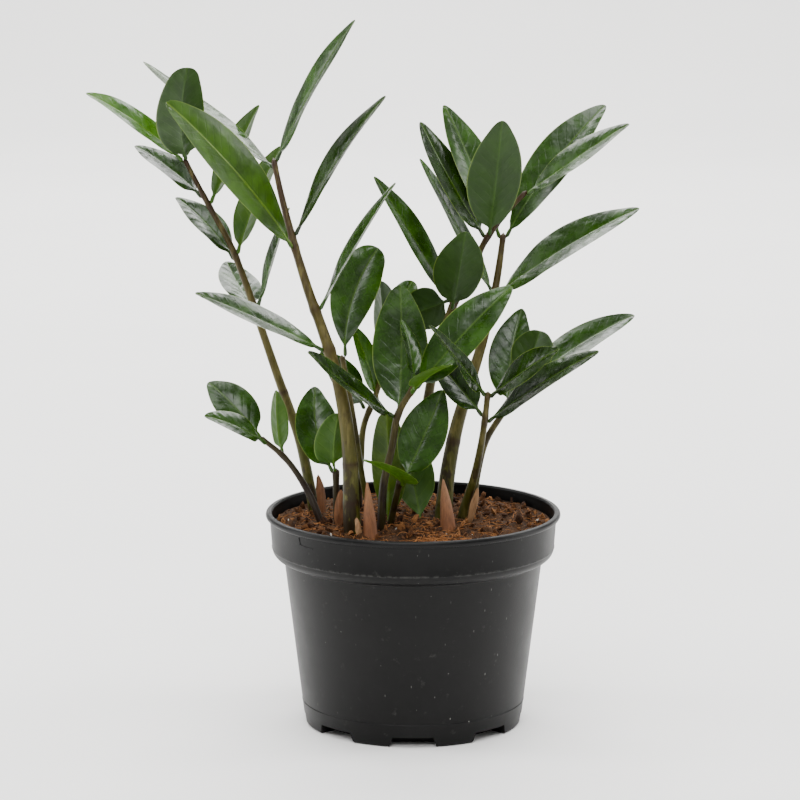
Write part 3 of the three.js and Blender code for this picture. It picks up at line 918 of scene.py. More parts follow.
@dataclass
class Pot:
    """The moulded pot: bead, collar, body, drain pockets and small moulded marks. Millimetres."""

    wall: float = 1.4
    floor: float = 1.6
    lip_height: float = 3.4
    lip_overhang: float = 2.3
    collar_height: float = 27.0
    collar_rounding: float = 6.5
    collar_taper: float = 1.3
    collar_step: float = 7.0
    base_radius: float = 63.0
    foot_radius: float = 2.0
    ring_line_height: float = 13.2
    ring_line_relief: float = 0.18
    collar_edge: float = 0.28
    pocket_count: int = 8
    pocket_width: float = 27.5
    pocket_height: float = 6.0
    pocket_depth: float = 13.0
    pocket_slant: float = 2.2
    hole: tuple[float, float] = (9.0, 4.0)
    sides: int = 192
    height: float = field(init=False)
    rim_radius: float = field(init=False)

    def __post_init__(self) -> None:
        """Takes the height and the rim from the frame."""
        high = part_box("pot")[1]
        self.height = high.z / MM
        self.rim_radius = high.x / MM

    @property
    def collar_radius(self) -> float:
        """The collar's outer radius at its top."""
        return self.rim_radius - self.lip_overhang

    @property
    def collar_foot(self) -> float:
        """The height of the collar's underside."""
        return self.height - self.collar_height

    @property
    def body_top(self) -> float:
        """The body's outer radius where it meets the collar."""
        return self.collar_radius - self.collar_taper - self.collar_step

    def wall_line(self, inset: float) -> list[tuple[float, float]]:
        """The wall's line from the collar's underside to its top, moved inwards.

        Args:
            inset: how far the line is moved into the pot.

        Returns:
            Radius and height of each corner.
        """
        throat_reach, throat_drop, throat_rise = 2.2, 1.2, 1.7
        line = []
        for step in range(6):
            angle = step * math.pi / 10
            line.append((
                self.body_top - inset + throat_reach * (1 - math.cos(angle)),
                self.collar_foot + inset - throat_drop + throat_rise * math.sin(angle),
            ))
        for step in range(4, 10):
            angle = step * math.pi / 20
            line.append((
                self.body_top + (self.collar_step - inset) * math.sin(angle),
                self.collar_foot + self.collar_rounding - (self.collar_rounding - inset) * math.cos(angle),
            ))
        edge = self.collar_foot + self.collar_rounding
        reach = self.body_top + self.collar_step - inset
        proud = reach + self.collar_edge
        line += [(reach, edge - 0.5), (proud, edge - 0.1), (proud, edge + 0.3), (reach + 0.1, edge + 1.0)]
        line.append((self.collar_radius - inset, self.height - self.lip_height))
        return line

    def outside(self) -> bpy.types.Object:
        """The pot's outer shape as a filled solid."""
        slope = (self.body_top - self.base_radius) / (self.collar_foot - self.foot_radius)
        outline = [(0.0, 0.0)]
        for step in range(5):
            angle = step * math.pi / 8
            outline.append((
                self.base_radius - self.foot_radius * (1 - math.sin(angle)),
                self.foot_radius * (1 - math.cos(angle)),
            ))
        for rise, relief in ((-0.7, 0.0), (-0.2, 1.0), (0.2, 1.0), (0.5, -0.6), (1.0, 0.0)):
            level = self.ring_line_height + rise
            radius = self.base_radius + slope * (level - self.foot_radius)
            outline.append((radius + relief * self.ring_line_relief, level))
        outline += self.wall_line(0.0)
        bead = self.lip_height / 2
        out = bead * 0.8
        for step in range(9):
            angle = (step / 8 - 0.5) * math.pi
            radius = self.rim_radius - out + out * math.cos(angle)
            outline.append((radius, self.height - bead + bead * math.sin(angle)))
        outline.append((0.0, self.height))
        return spun("pot_shell", outline, self.sides)

    def hollow(self) -> bpy.types.Object:
        """The space inside the pot's wall as a solid, flared a little at the mouth."""
        inside = self.wall_line(self.wall)
        outline = [(0.0, self.floor), (self.base_radius - self.wall, self.floor), *inside]
        mouth, flare, top = self.collar_radius - self.wall, 0.8, self.height
        outline += [(mouth, top - 1.0), (mouth + flare, top + 0.2)]
        outline += [(mouth + flare, top + 2.0), (0.0, top + 2.0)]
        return spun("hollow", outline, self.sides)

    def wedge(self, index: int, margin: float) -> bpy.types.Object:
        """A block that fills one drain pocket, with its margin."""
        below, beyond = 1.0, 4.0
        half = self.pocket_width / 2 + margin
        inner = self.base_radius - self.pocket_depth - margin
        depth = self.base_radius + beyond - inner
        top = self.pocket_height + margin
        deselect_all()
        bpy.ops.mesh.primitive_cube_add(size=1.0)
        block = newest("pocket")
        places = points_of(block)
        slant = np.where(places[:, 2] > 0, self.pocket_slant, 0.0)
        x = np.sign(places[:, 0]) * (half - slant)
        y = -(inner + (0.5 - places[:, 1]) * depth)
        z = np.where(places[:, 2] > 0, top, -below)
        set_points(block, np.stack([x, y, z], axis=1) * MM)
        block.data.transform(Matrix.Rotation(index * 2 * math.pi / self.pocket_count, 4, "Z"))
        return block

    def drain_hole(self, index: int) -> bpy.types.Object:
        """A block that cuts one drain hole through a pocket's roof."""
        width, depth = self.hole
        land, below = 1.5, 1.0
        middle = self.base_radius - self.wall - land - depth / 2
        deselect_all()
        bpy.ops.mesh.primitive_cube_add(size=1.0)
        block = newest("drain_hole")
        reach = self.pocket_height + self.floor + 4.0
        block.data.transform(Matrix.Diagonal((width * MM, depth * MM, reach * MM, 1.0)))
        block.data.transform(Matrix.Translation((0, -middle * MM, (reach / 2 - below) * MM)))
        block.data.transform(Matrix.Rotation(index * 2 * math.pi / self.pocket_count, 4, "Z"))
        return block

    def round_the_pot(self, make: Callable[[int], bpy.types.Object], name: str) -> bpy.types.Object:
        """Joins one block for each drain pocket into one tool."""
        return joined([make(index) for index in range(self.pocket_count)], name)

    def moulded_mark(self) -> bpy.types.Object:
        """The thin raised angle on the collar at the front left."""
        start, middle, end = (-0.890, 119.6), (-0.880, 115.2), (-0.745, 114.6)
        half_width, proud = 0.32, 0.05
        corners = []
        for (a0, z0), (a1, z1) in ((start, middle), (middle, end)):
            for step in range(8):
                share = step / 7
                corners.append((a0 + (a1 - a0) * share, z0 + (z1 - z0) * share))
        top, foot = self.height - self.lip_height, self.collar_foot + self.collar_rounding

        def on_collar(angle: float, z: float) -> tuple[float, float, float]:
            radius = self.collar_radius - self.collar_taper * (top - z) / (top - foot) + proud
            return radius * math.sin(angle), -radius * math.cos(angle), z

        line = np.array([on_collar(a, z) for a, z in corners]) * MM

        def place(along: np.ndarray, turn: np.ndarray) -> Points:
            spine = curve_through(line, along)
            angle = turn * 2 * math.pi
            swell = np.sqrt(np.clip(np.sin(along * math.pi) * 8, 0, 1))[:, None] * half_width * MM
            outward_way = unit(spine * [1, 1, 0])
            up = np.array([0.0, 0.0, 1.0])
            sideways = np.cross(up, outward_way)
            level = np.cos(angle)[:, None] * (up + sideways) * 0.7
            return spine + swell * (level + np.sin(angle)[:, None] * outward_way)

        return loft("pot_moulded_mark", 24, 8, place)

    def build(self) -> None:
        """Cuts the pot out of its solids and dresses it."""
        material = PotFinish(edge=self.collar_foot + self.collar_rounding).make()
        hollow = self.hollow()
        cut(hollow, self.round_the_pot(lambda i: self.wedge(i, self.floor), "pocket_covers"))
        shell = self.outside()
        cut(shell, hollow)
        cut(shell, self.round_the_pot(lambda i: self.wedge(i, 0.0), "pockets"))
        cut(shell, self.round_the_pot(self.drain_hole, "drain_holes"))
        smooth(shell, 32)
        dress(shell, material, "pot_plastic", "pot")
        mark = self.moulded_mark()
        smooth(mark, 60)
        dress(mark, material, "pot_plastic")


# ---------------------------------------------------------------- coir


@dataclass
class CoirBed:
    """The coir in the pot: the bed itself, loose crumbs, fibres and perlite. Millimetres."""

    level: float = COIR_LEVEL
    mound: float = 4.0
    clump: float = 3.0
    crumbs: int = 1000
    fibres: int = 360
    perlite: int = 26
    chip: tuple[float, float] = (0.3, 0.75)
    radius: float = field(init=False)

    def __post_init__(self) -> None:
        """Takes the bed's radius from the frame."""
        self.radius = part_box("coir")[1].x / MM - 0.2

    def height_at(self, x: float, y: float) -> float:
        """The lumpy surface's height above the floor, in millimetres."""
        share = min(1.0, math.hypot(x, y) / self.radius)
        base = self.level + self.mound * (1 - share * share)
        lumps = noise.noise(Vector((x, y, 3.0)) / 7.5) + 0.6 * noise.noise(Vector((x, y, 9.0)) / 3.1)
        pits = noise.voronoi(Vector((x, y, 1.0)) / 5.5)[0]
        settled = 1.0 - smooth_step(0.94, 1.0, share)
        return base + self.clump * (lumps * 0.8 + (0.35 - pits[0]) * 0.9) * settled

    def bed(self) -> bpy.types.Object:
        """The bed: a closed body whose top is lumpy."""
        rings, around = 120, 200
        floor_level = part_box("coir")[0].z / MM
        underside = floor_level + 6.0
        bottom = self.radius * 0.76
        under, split = 0.1, 0.42
        body_height, body_foot, body_slope = 100.0, 61.0, 0.12

        def place(along: np.ndarray, turn: np.ndarray) -> Points:
            places = []
            for share, part in zip(along, turn):
                angle = part * 2 * math.pi
                if share < under:
                    radius, height = bottom * share / under, underside
                elif share < split:
                    rise = (share - under) / (split - under)
                    radius = bottom + (self.radius - bottom) * min(1.0, rise * 1.05)
                    height = underside + rise * (self.level - underside)
                    if height < body_height:
                        radius = min(radius, body_foot + (height - 2.0) * body_slope)
                else:
                    radius = self.radius * (1 - (share - split) / (1 - split))
                    height = self.height_at(radius * math.cos(angle), radius * math.sin(angle))
                places.append((radius * math.cos(angle), radius * math.sin(angle), height))
            return np.array(places) * MM

        piece = loft("coir_bed", rings, around, place)
        smooth(piece, 40)
        return piece

    def scattered(self, master: bpy.types.Object, count: int, sizes: tuple[float, float], seed: int,
                  name: str, keep_in: float = 0.965) -> bpy.types.Object:
        """Scatters copies of a small piece over the bed.

        Args:
            master: the piece to copy, about 1 mm across; it is removed at the end.
            count: how many copies to make.
            sizes: the smallest and largest copy, in millimetres.
            seed: start of the random order.
            name: the joined piece's name.
            keep_in: share of the bed's radius that the copies stay within.

        Returns:
            All copies as one piece.
        """
        rng = random.Random(seed)
        copies = []
        for _ in range(count):
            out = self.radius * keep_in * math.sqrt(rng.random())
            angle = rng.uniform(0, 2 * math.pi)
            x, y = out * math.cos(angle), out * math.sin(angle)
            size = sizes[0] + (sizes[1] - sizes[0]) * rng.random() ** 2.2
            z = self.height_at(x, y) + size * rng.uniform(-0.1, 0.35)
            twist = Euler([rng.uniform(0, 2 * math.pi) for _ in range(3)]).to_matrix().to_4x4()
            wide, thick = rng.uniform(*self.chip), rng.uniform(0.2, 0.6)
            squash = Matrix.Diagonal((size, size * wide, size * thick, 1))
            twin = copied(master, name)
            jitter = np.array([[rng.uniform(0.72, 1.25)] for _ in twin.data.vertices])
            set_points(twin, points_of(twin) * jitter)
            twin.data.transform(Matrix.Scale(MM, 4) @ Matrix.Translation((x, y, z)) @ twist @ squash)
            copies.append(twin)
        bpy.data.objects.remove(master)
        return joined(copies, name)

    def crumb(self, rounding: int) -> bpy.types.Object:
        """One crumb, about 1 mm across."""
        deselect_all()
        bpy.ops.mesh.primitive_ico_sphere_add(subdivisions=rounding, radius=0.5)
        return newest("crumb")

    def fibre_mat(self, name: str, count: int, seed: int, lengths: tuple[float, float], lift: float,
                  thickness: float, centre: tuple[float, float, float] | None = None) -> bpy.types.Object:
        """Loose fibres that lie over the bed.

        Args:
            name: the joined piece's name.
            count: how many fibres.
            seed: start of the random order.
            lengths: the shortest and longest fibre, in millimetres.
            lift: how far the fibres' middles rise off the bed.
            thickness: a fibre's thickness.
            centre: middle and spread of a tuft, or None for the whole bed.

        Returns:
            All fibres as one piece.
        """
        rng = random.Random(seed)
        deselect_all()
        bpy.ops.mesh.primitive_cylinder_add(vertices=4, radius=0.5, depth=1.0, end_fill_type="NGON")
        master = newest("fibre")
        bpy.ops.object.mode_set(mode="EDIT")
        bpy.ops.mesh.select_all(action="SELECT")
        bpy.ops.mesh.bisect(plane_co=(0, 0, 0), plane_no=(0, 0, 1))
        for level in (-0.35, -0.18, 0.18, 0.35):
            bpy.ops.mesh.select_all(action="SELECT")
            bpy.ops.mesh.bisect(plane_co=(0, 0, level), plane_no=(0, 0, 1))
        bpy.ops.object.mode_set(mode="OBJECT")
        straight = points_of(master)
        strands = []
        for _ in range(count):
            if centre:
                x, y = centre[0] + rng.gauss(0, centre[2]), centre[1] + rng.gauss(0, centre[2] * 0.6)
            else:
                out = self.radius * 0.93 * math.sqrt(rng.random())
                angle = rng.uniform(0, 2 * math.pi)
                x, y = out * math.cos(angle), out * math.sin(angle)
            heading = rng.uniform(0, 2 * math.pi)
            length = rng.uniform(*lengths)
            bend, hump = rng.uniform(-0.35, 0.35), rng.uniform(0.1, 1.0) * lift
            girth = thickness * rng.uniform(0.7, 1.4)
            share = straight[:, 2]
            run = share * length
            sway = bend * length * (0.25 - share**2)
            px = x + run * math.cos(heading) - (sway + straight[:, 0] * girth) * math.sin(heading)
            py = y + run * math.sin(heading) + (sway + straight[:, 0] * girth) * math.cos(heading)
            over = np.hypot(px, py) / (self.radius * 0.975)
            px, py = px / np.maximum(over, 1.0), py / np.maximum(over, 1.0)
            ground = np.array([self.height_at(a, b) for a, b in zip(px, py)])
            pz = 0.5 * ground + 0.5 * ground.mean() + 0.7
            pz += hump * (1 - 4 * share**2) + straight[:, 1] * girth
            twin = copied(master, name)
            set_points(twin, np.stack([px, py, pz], axis=1) * MM)
            strands.append(twin)
        bpy.data.objects.remove(master)
        return joined(strands, name)

    def build(self) -> None:
        """Makes the bed and what lies loose on it."""
        bed = self.bed()
        dress(bed, CoirFinish("coir_bed_matter").make(), "coir", "coir")
        shades = (
            ("dark", CoirFinish("dark_husk", "#1a0e07", "#3a2211", "#5c3a20", 2.0), 0.3, 11),
            ("red", CoirFinish("red_husk", "#2c1a0d", "#5a381e", "#885e39", 2.0), 0.5, 12),
            ("light", CoirFinish("pale_husk", "#553419", "#875a34", "#b58859", 2.0), 0.2, 13),
        )
        for shade, finish, share, seed in shades:
            count = int(self.crumbs * share)
            piece = self.scattered(self.crumb(1), count, (1.4, 7.5), seed, f"coir_crumbs_{shade}")
            smooth(piece, 50)
            dress(piece, finish.make(), "coir")
        fibre = CoirFinish("coir_fibre", "#5a361b", "#925f35", "#c4935e", 3.0).make()
        fibres = self.fibre_mat("coir_fibres", self.fibres, 21, (4.0, 15.0), 1.2, 0.32)
        tuft = self.fibre_mat("coir_fibre_tuft", 90, 22, (8.0, 18.0), 3.0, 0.35, (14.0, -62.0, 7.0))
        for piece in (fibres, tuft):
            smooth(piece, 60)
            dress(piece, fibre, "coir")
        grains = self.scattered(self.crumb(2), self.perlite, (1.2, 3.2), 31, "perlite_grains", 0.9)
        smooth(grains, 40)
        dress(grains, PerliteFinish().make(), "coir")


# ---------------------------------------------------------------- stems


@dataclass
class Stem:
    """One stem: a tapering tube with swollen nodes, scars and a ragged tip. Millimetres."""

    letter: str
    scars: tuple[float, ...] = ()
    darker_foot: float = 0.0
    around: int = 20
    ring_spacing: float = 2.0
    node_swell: float = 0.16
    buried: float = 2.8

    def __post_init__(self) -> None:
        """Reads the stem's line from the frame."""
        self.core = StemLine(f"stem_{self.letter}")

    def joints(self) -> list[Points]:
        """Where the leaflets leave this stem."""
        starts = []
        for node in leaflets_of(self.letter):
            places = merged_mesh(node)[0]
            gaps = [np.linalg.norm(self.core.nearest(place) - place) for place in places]
            starts.append(self.core.nearest(places[int(np.argmin(gaps))]))
        return starts

    def build(self, material: bpy.types.Material) -> None:
        """Makes the stem.

        Args:
            material: the stem's skin.
        """
        core = self.core
        down = core.line[0] - unit(core.line[1] - core.line[0]) * self.buried * MM
        knots = np.vstack([down, core.line[1:]]) if len(core.line) > 2 else core.line
        length = np.linalg.norm(np.diff(knots, axis=0), axis=1).sum() / MM
        rings = max(24, int(length / self.ring_spacing))
        fine = curve_through(knots, np.linspace(0, 1, rings + 1))
        radii = curve_through(core.radii[:, None], np.linspace(0, 1, rings + 1))[:, 0]
        _, first, second = across_line(fine)
        steps = np.concatenate([[0], np.cumsum(np.linalg.norm(np.diff(fine, axis=0), axis=1))])
        marks = [steps[np.argmin(np.linalg.norm(fine - joint, axis=1))] for joint in self.joints()]
        swelling = np.zeros(rings + 1)
        for mark in marks:
            swelling = np.maximum(swelling, np.exp(-(((steps - mark) / (2.6 * MM)) ** 2)))
        scar = np.zeros(rings + 1)
        for height in self.scars:
            gap = fine[:, 2] / MM - COIR_LEVEL - height
            scar = np.maximum(scar, np.exp(-((gap / 1.6) ** 2)))
        radii = radii * (1 + self.node_swell * swelling) + 0.2 * MM * scar
        radii *= 1 - 0.25 * smooth_step(0.985, 1.0, np.linspace(0, 1, rings + 1))
        seed = ord(self.letter)

        def place(along: np.ndarray, turn: np.ndarray) -> Points:
            index = np.round(along * rings).astype(int)
            angle = turn * 2 * math.pi
            wobble = np.array([
                noise.noise(Vector((math.cos(a), math.sin(a), i * 0.09 + seed)))
                for a, i in zip(angle, index)
            ])
            radius = radii[index] * (1 + 0.07 * wobble)
            radius = np.where((index == 0) | (index == rings), 0.0, radius)
            ridge = np.cos(angle)[:, None] * first[index] + np.sin(angle)[:, None] * second[index]
            return fine[index] + ridge * radius[:, None]

        piece = loft(f"stem_{self.letter}_skin", rings, self.around, place)
        index = np.round(self._numbers(piece, "pole_share") * rings).astype(int)
        rise = (fine[index, 2] / MM - COIR_LEVEL) / 210.0
        set_attribute(piece, "rise", rise)
        set_attribute(piece, "scar", np.maximum(scar[index], 0.55 * swelling[index]))
        set_attribute(piece, "darker_foot", np.full(len(index), self.darker_foot))
        smooth(piece, 50)
        dress(piece, material, "stem", f"stem_{self.letter}")

    @staticmethod
    def _numbers(piece: bpy.types.Object, name: str) -> np.ndarray:
        """Reads one stored number for each point of a mesh."""
        values = np.zeros(len(piece.data.vertices), np.float32)
        piece.data.attributes[name].data.foreach_get("value", values)
        return values


def leaflets_of(letter: str) -> list[str]:
    """The CAD nodes of the leaflets on one stem."""
    return sorted(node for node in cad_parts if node.startswith(f"leaflet_{letter}"))


# ---------------------------------------------------------------- leaves


@dataclass
class Leaf:
    """One leaf: a folded, puffed blade with a round stalk and a keel under its midrib."""

    name: str
    cage: BladeCage
    tone: LeafTone
    seed: int
    rings: int = 44
    around: int = 40
    blade: float = 0.55
    keel: float = 0.8
    stalk: float = 1.15
    puff: float = 0.05
    wave: float = 0.5
    quilt: float = 0.16

    def build(self, material: bpy.types.Material, *nodes: str) -> None:
        """Makes the leaf.

        Args:
            material: the leaf's skin.
            nodes: the CAD nodes that it stands for.
        """
        rng = random.Random(self.seed)
        even = np.linspace(0, 1, self.rings + 1)
        shares = 0.25 * even + 0.375 * (1 - np.cos(math.pi * even))
        cage = self.cage
        rib = curve_through(cage.rib, shares)
        left = cage.offsets(cage.left, shares)
        right = cage.offsets(cage.right, shares)
        up = unit(curve_through(cage.up, shares))
        tangent = unit(np.gradient(rib, axis=0))
        rib[0] -= tangent[0] * 1.2 * MM
        stalk_zone = 1 - smooth_step(0.25, 1.0, shares * cage.length / (9.0 * MM))
        waves = [(rng.uniform(0.8, 1.6), rng.uniform(0, 1)) for _ in range(2)]
        lean = [rng.uniform(0.6, 1.25) for _ in range(2)]
        tilt = rng.uniform(0, 10)
        numbers: dict[str, np.ndarray] = {}

        def place(ring: np.ndarray, turn: np.ndarray) -> Points:
            index = np.round(ring * self.rings).astype(int)
            along = shares[index]
            upper = turn <= 0.5
            across = np.where(upper, 1 - 4 * turn, 4 * turn - 3)
            span = np.where((across > 0)[:, None], right[index], left[index])
            reach = np.linalg.norm(span, axis=1)
            fade = stalk_zone[index]
            width = np.where(fade > 0, reach * (1 - fade), reach)
            body = (index > 0) & (index < self.rings)
            width = np.where(body, np.maximum(width, self.stalk * MM * fade), 0.0)
            spot = rib[index] + unit(span) * (np.abs(across) * width)[:, None]
            size = np.abs(across)
            side = (across > 0).astype(int)
            freq = np.array([w[0] for w in waves])[side]
            phase = np.array([w[1] for w in waves])[side]
            ripple = np.sin(2 * math.pi * (freq * along + phase)) * size**2 * self.wave * MM
            ripple *= np.minimum(1, width / (6 * MM)) * (1 - fade)
            swell = self.puff * width * np.sin(math.pi * size**0.85) * np.array(lean)[side]
            slant = along * cage.length / MM - size * width / MM * 0.95
            quilt = self.quilt * MM * np.sin(2 * math.pi * slant / LeafFinish.vein_spacing + tilt)
            quilt *= np.sin(math.pi * size) * (1 - fade)
            thick = self.blade * MM * (1 - 0.55 * size)
            thick += self.keel * MM * (1 - along) ** 0.6 * np.exp(-((across * width / (0.9 * MM)) ** 2))
            bar = self.stalk * MM * np.sqrt(np.clip(1 - across**2, 0, 1)) * fade
            thick = thick * (1 - fade) + 2 * bar
            raise_by = swell + ripple + quilt + bar
            lift = np.where(upper, raise_by, raise_by - thick) * body
            numbers["across_mm"] = across * width / MM
            numbers["along_mm"] = along * cage.length / MM
            numbers["edge_share"] = size * (1 - fade)
            numbers["upper_side"] = upper.astype(float)
            return spot + up[index] * lift[:, None]

        piece = loft(self.name, self.rings, self.around, place)
        for name, values in numbers.items():
            set_attribute(piece, name, values)
        smooth(piece, 55)
        dress(piece, material, "leaf", *nodes)


@dataclass(frozen=True)
class SmallLeaf:
    """A partly hidden leaf that only the visual model has. Millimetres, heights above the coir."""

    name: str
    start: tuple[float, float, float]
    tip: tuple[float, float, float]
    up: tuple[float, float, float]
    width: float
    tone: LeafTone
    blunt: float = 0.0
    arch: float = 2.0

    def cage(self) -> BladeCage:
        """The leaf's cage."""
        start, tip = (np.array(end) + [0.0, 0.0, COIR_LEVEL] for end in (self.start, self.tip))
        return BladeCage.drawn(start, tip, self.up, self.width, self.blunt, self.arch)


SMALL_LEAVES = (
    SmallLeaf("leaf_e2", (-21, 29, 66), (-35, 24, 110), (0.3, -0.55, 0.9), 17, LeafTone.FRESH, 0.2),
    SmallLeaf("leaf_e3", (-18, 32, 84), (-19, 26, 137), (0.75, 0.6, -0.2), 27, LeafTone.MIDDLE, 0.6),
    SmallLeaf("leaf_e4", (-16, 32, 92), (-1, 46, 134), (0.0, -0.6, 0.9), 22, LeafTone.FRESH, 0.5),
    SmallLeaf("leaf_f7", (21, 23, 126), (-8, 38, 112), (-0.1, 0.97, -0.1), 25, LeafTone.MIDDLE, 0.2),
    SmallLeaf("leaf_d5", (0, -38, 88), (-7, -29, 123), (0.9, -0.5, 0.3), 17, LeafTone.MIDDLE),
    SmallLeaf("leaf_k3", (63, 2, 80), (72, -13, 114), (0.1, 0.9, 0.5), 24, LeafTone.MIDDLE, 0.5),
    SmallLeaf("leaf_low", (-14, -7, 0), (-15, -14, 67), (0.2, 0.9, 0.3), 21, LeafTone.OLIVE, 0.8),
    SmallLeaf("leaf_a9", (-133, 44, 207), (-128, 36, 219), (0.8, -0.5, 0.2), 5, LeafTone.FRESH),
)


@dataclass
class Foliage:
    """All the stems and leaves."""

    tones: dict[str, LeafTone] = field(default_factory=dict)
    scars: dict[str, tuple[float, ...]] = field(default_factory=dict)
    darker_foot: dict[str, float] = field(default_factory=dict)

    def build(self) -> None:
        """Makes each stem, and then each leaf from its CAD leaflet."""
        skin = StemFinish().make()
        greens = {tone: tone.value.make() for tone in LeafTone}
        letters = sorted({node.split("_")[1][0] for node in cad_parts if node.startswith("stem_")})
        seed = 100
        for letter in letters:
            stem = Stem(letter, self.scars.get(letter, ()), self.darker_foot.get(letter, 0.0))
            stem.build(skin)
            for node in leaflets_of(letter):
                seed += 1
                places = merged_mesh(node)[0]
                gaps = [np.linalg.norm(stem.core.nearest(place) - place) for place in places]
                cage = BladeCage.from_node(node, places[int(np.argmin(gaps))])
                tone = self.tones.get(node.split("_")[1], LeafTone.MIDDLE)
                Leaf(f"{node}_blade", cage, tone, seed).build(greens[tone], node)
        low = merged_mesh("ground_leaf")[0]
        cage = BladeCage.from_node("ground_leaf", low[int(np.argmin(low[:, 2]))])
        tone = LeafTone.FRESH
        Leaf("ground_leaf_blade", cage, tone, seed + 1).build(greens[tone], "ground_leaf")
        for small in SMALL_LEAVES:
            seed += 2
            Leaf(small.name, small.cage(), small.tone, seed).build(greens[small.tone])


# ---------------------------------------------------------------- shoots


@dataclass
class Shoot:
    """A young shoot in its dry sheath, pointed and wrapped round once. Millimetres."""

    side: str
    rings: int = 40
    around: int = 32
    lap: float = 0.5

    def build(self, material: bpy.types.Material) -> None:
        """Makes the shoot.

        Args:
            material: the sheath's skin.
        """
        core = StemLine(f"shoot_{self.side}")
        shares = np.linspace(0, 1, self.rings + 1)
        fine = curve_through(core.line, shares)
        radii = curve_through(core.radii[:, None], shares)[:, 0]
        _, first, second = across_line(fine)
        lap = self.lap * MM

        def place(along: np.ndarray, turn: np.ndarray) -> Points:
            index = np.round(along * self.rings).astype(int)
            spiral = (turn + 0.18 * along + 0.2) % 1.0
            fold = lap * (1 - smooth_step(0.0, 0.12, spiral)) + lap * 0.3 * spiral
            angle = turn * 2 * math.pi
            radius = radii[index] * 0.95 + fold * np.minimum(1, radii[index] / (2 * MM))
            radius = np.where((index == 0) | (index == self.rings), 0.0, radius)
            ridge = np.cos(angle)[:, None] * first[index] + np.sin(angle)[:, None] * second[index]
            return fine[index] + ridge * radius[:, None]

        piece = loft(f"shoot_{self.side}_sheath", self.rings, self.around, place)
        height = points_of(piece)[:, 2]
        top = smooth_step(0.6, 1.0, (height - height.min()) / np.ptp(height))
        set_attribute(piece, "fray", top * 0.3)
        smooth(piece, 50)
        dress(piece, material, "sheath", f"shoot_{self.side}")


@dataclass(frozen=True)
class DryScale:
    """A dry scale leaf at a stem's foot. Millimetres, heights above the coir."""

    name: str
    start: tuple[float, float, float]
    tip: tuple[float, float, float]
    up: tuple[float, float, float]
    width: float
    fray: float = 0.3

    def build(self, material: bpy.types.Material) -> None:
        """Makes the scale.

        Args:
            material: the sheath's skin.
        """
        start, tip = (np.array(end) + [0.0, 0.0, COIR_LEVEL] for end in (self.start, self.tip))
        cage = BladeCage.drawn(start, tip, self.up, self.width, 0.4, 1.5)
        rings, around = 16, 20
        shares = np.linspace(0, 1, rings + 1)
        rib = curve_through(cage.rib, shares)
        left, right = (cage.offsets(edge, shares) for edge in (cage.left, cage.right))
        facing = cage.up[0]

        def place(along: np.ndarray, turn: np.ndarray) -> Points:
            index = np.round(along * rings).astype(int)
            across = np.where(turn <= 0.5, 1 - 4 * turn, 4 * turn - 3)
            span = np.where((across > 0)[:, None], right[index], left[index])
            hug = -0.55 * across**2 * np.linalg.norm(span, axis=1)
            crumple = np.array([
                noise.noise(Vector((a * 3, s * 6, self.width))) for a, s in zip(across, along)
            ]) * 0.8 * MM
            inside = (index > 0) & (index < rings)
            lift = hug + (crumple - np.where(turn > 0.5, 0.45 * MM, 0.0)) * inside
            return rib[index] + span * np.abs(across)[:, None] + facing * lift[:, None]

        piece = loft(self.name, rings, around, place)
        set_attribute(piece, "fray", np.full(len(piece.data.vertices), self.fray))
        smooth(piece, 50)
        dress(piece, material, "sheath")


DRY_SCALES = (
    DryScale("scale_j", (31, -10, -3), (37, -17, 24), (0.3, -0.9, 0.2), 4.5, 0.8),
    DryScale("scale_a", (-52, 13, -3), (-55, 10, 26), (0.5, -0.8, 0.1), 6, 0.1),
    DryScale("scale_m", (-43, -19, -3), (-41, -23, 24), (0.2, -0.9, 0.1), 6.5, 0.1),
    DryScale("scale_b", (-30, -46, -3), (-32, -47, 13), (0.5, -0.9, 0.0), 4, 0.9),
)


# ---------------------------------------------------------------- studio


@dataclass
class Softbox:
    """A soft rectangular lamp aimed at a point, in metres and watts."""

    name: str
    place: tuple[float, float, float]
    aim: tuple[float, float, float]
    size: tuple[float, float]
    power: float

    def build(self) -> None:
        """Hangs the lamp."""
        light = bpy.data.lights.new(self.name, "AREA")
        light.shape = "RECTANGLE"
        light.size, light.size_y = self.size
        light.energy = self.power
        lamp = bpy.data.objects.new(self.name, light)
        bpy.context.scene.collection.objects.link(lamp)
        lamp.location = self.place
        lamp.rotation_euler = (Vector(self.aim) - Vector(self.place)).to_track_quat("-Z", "Y").to_euler()


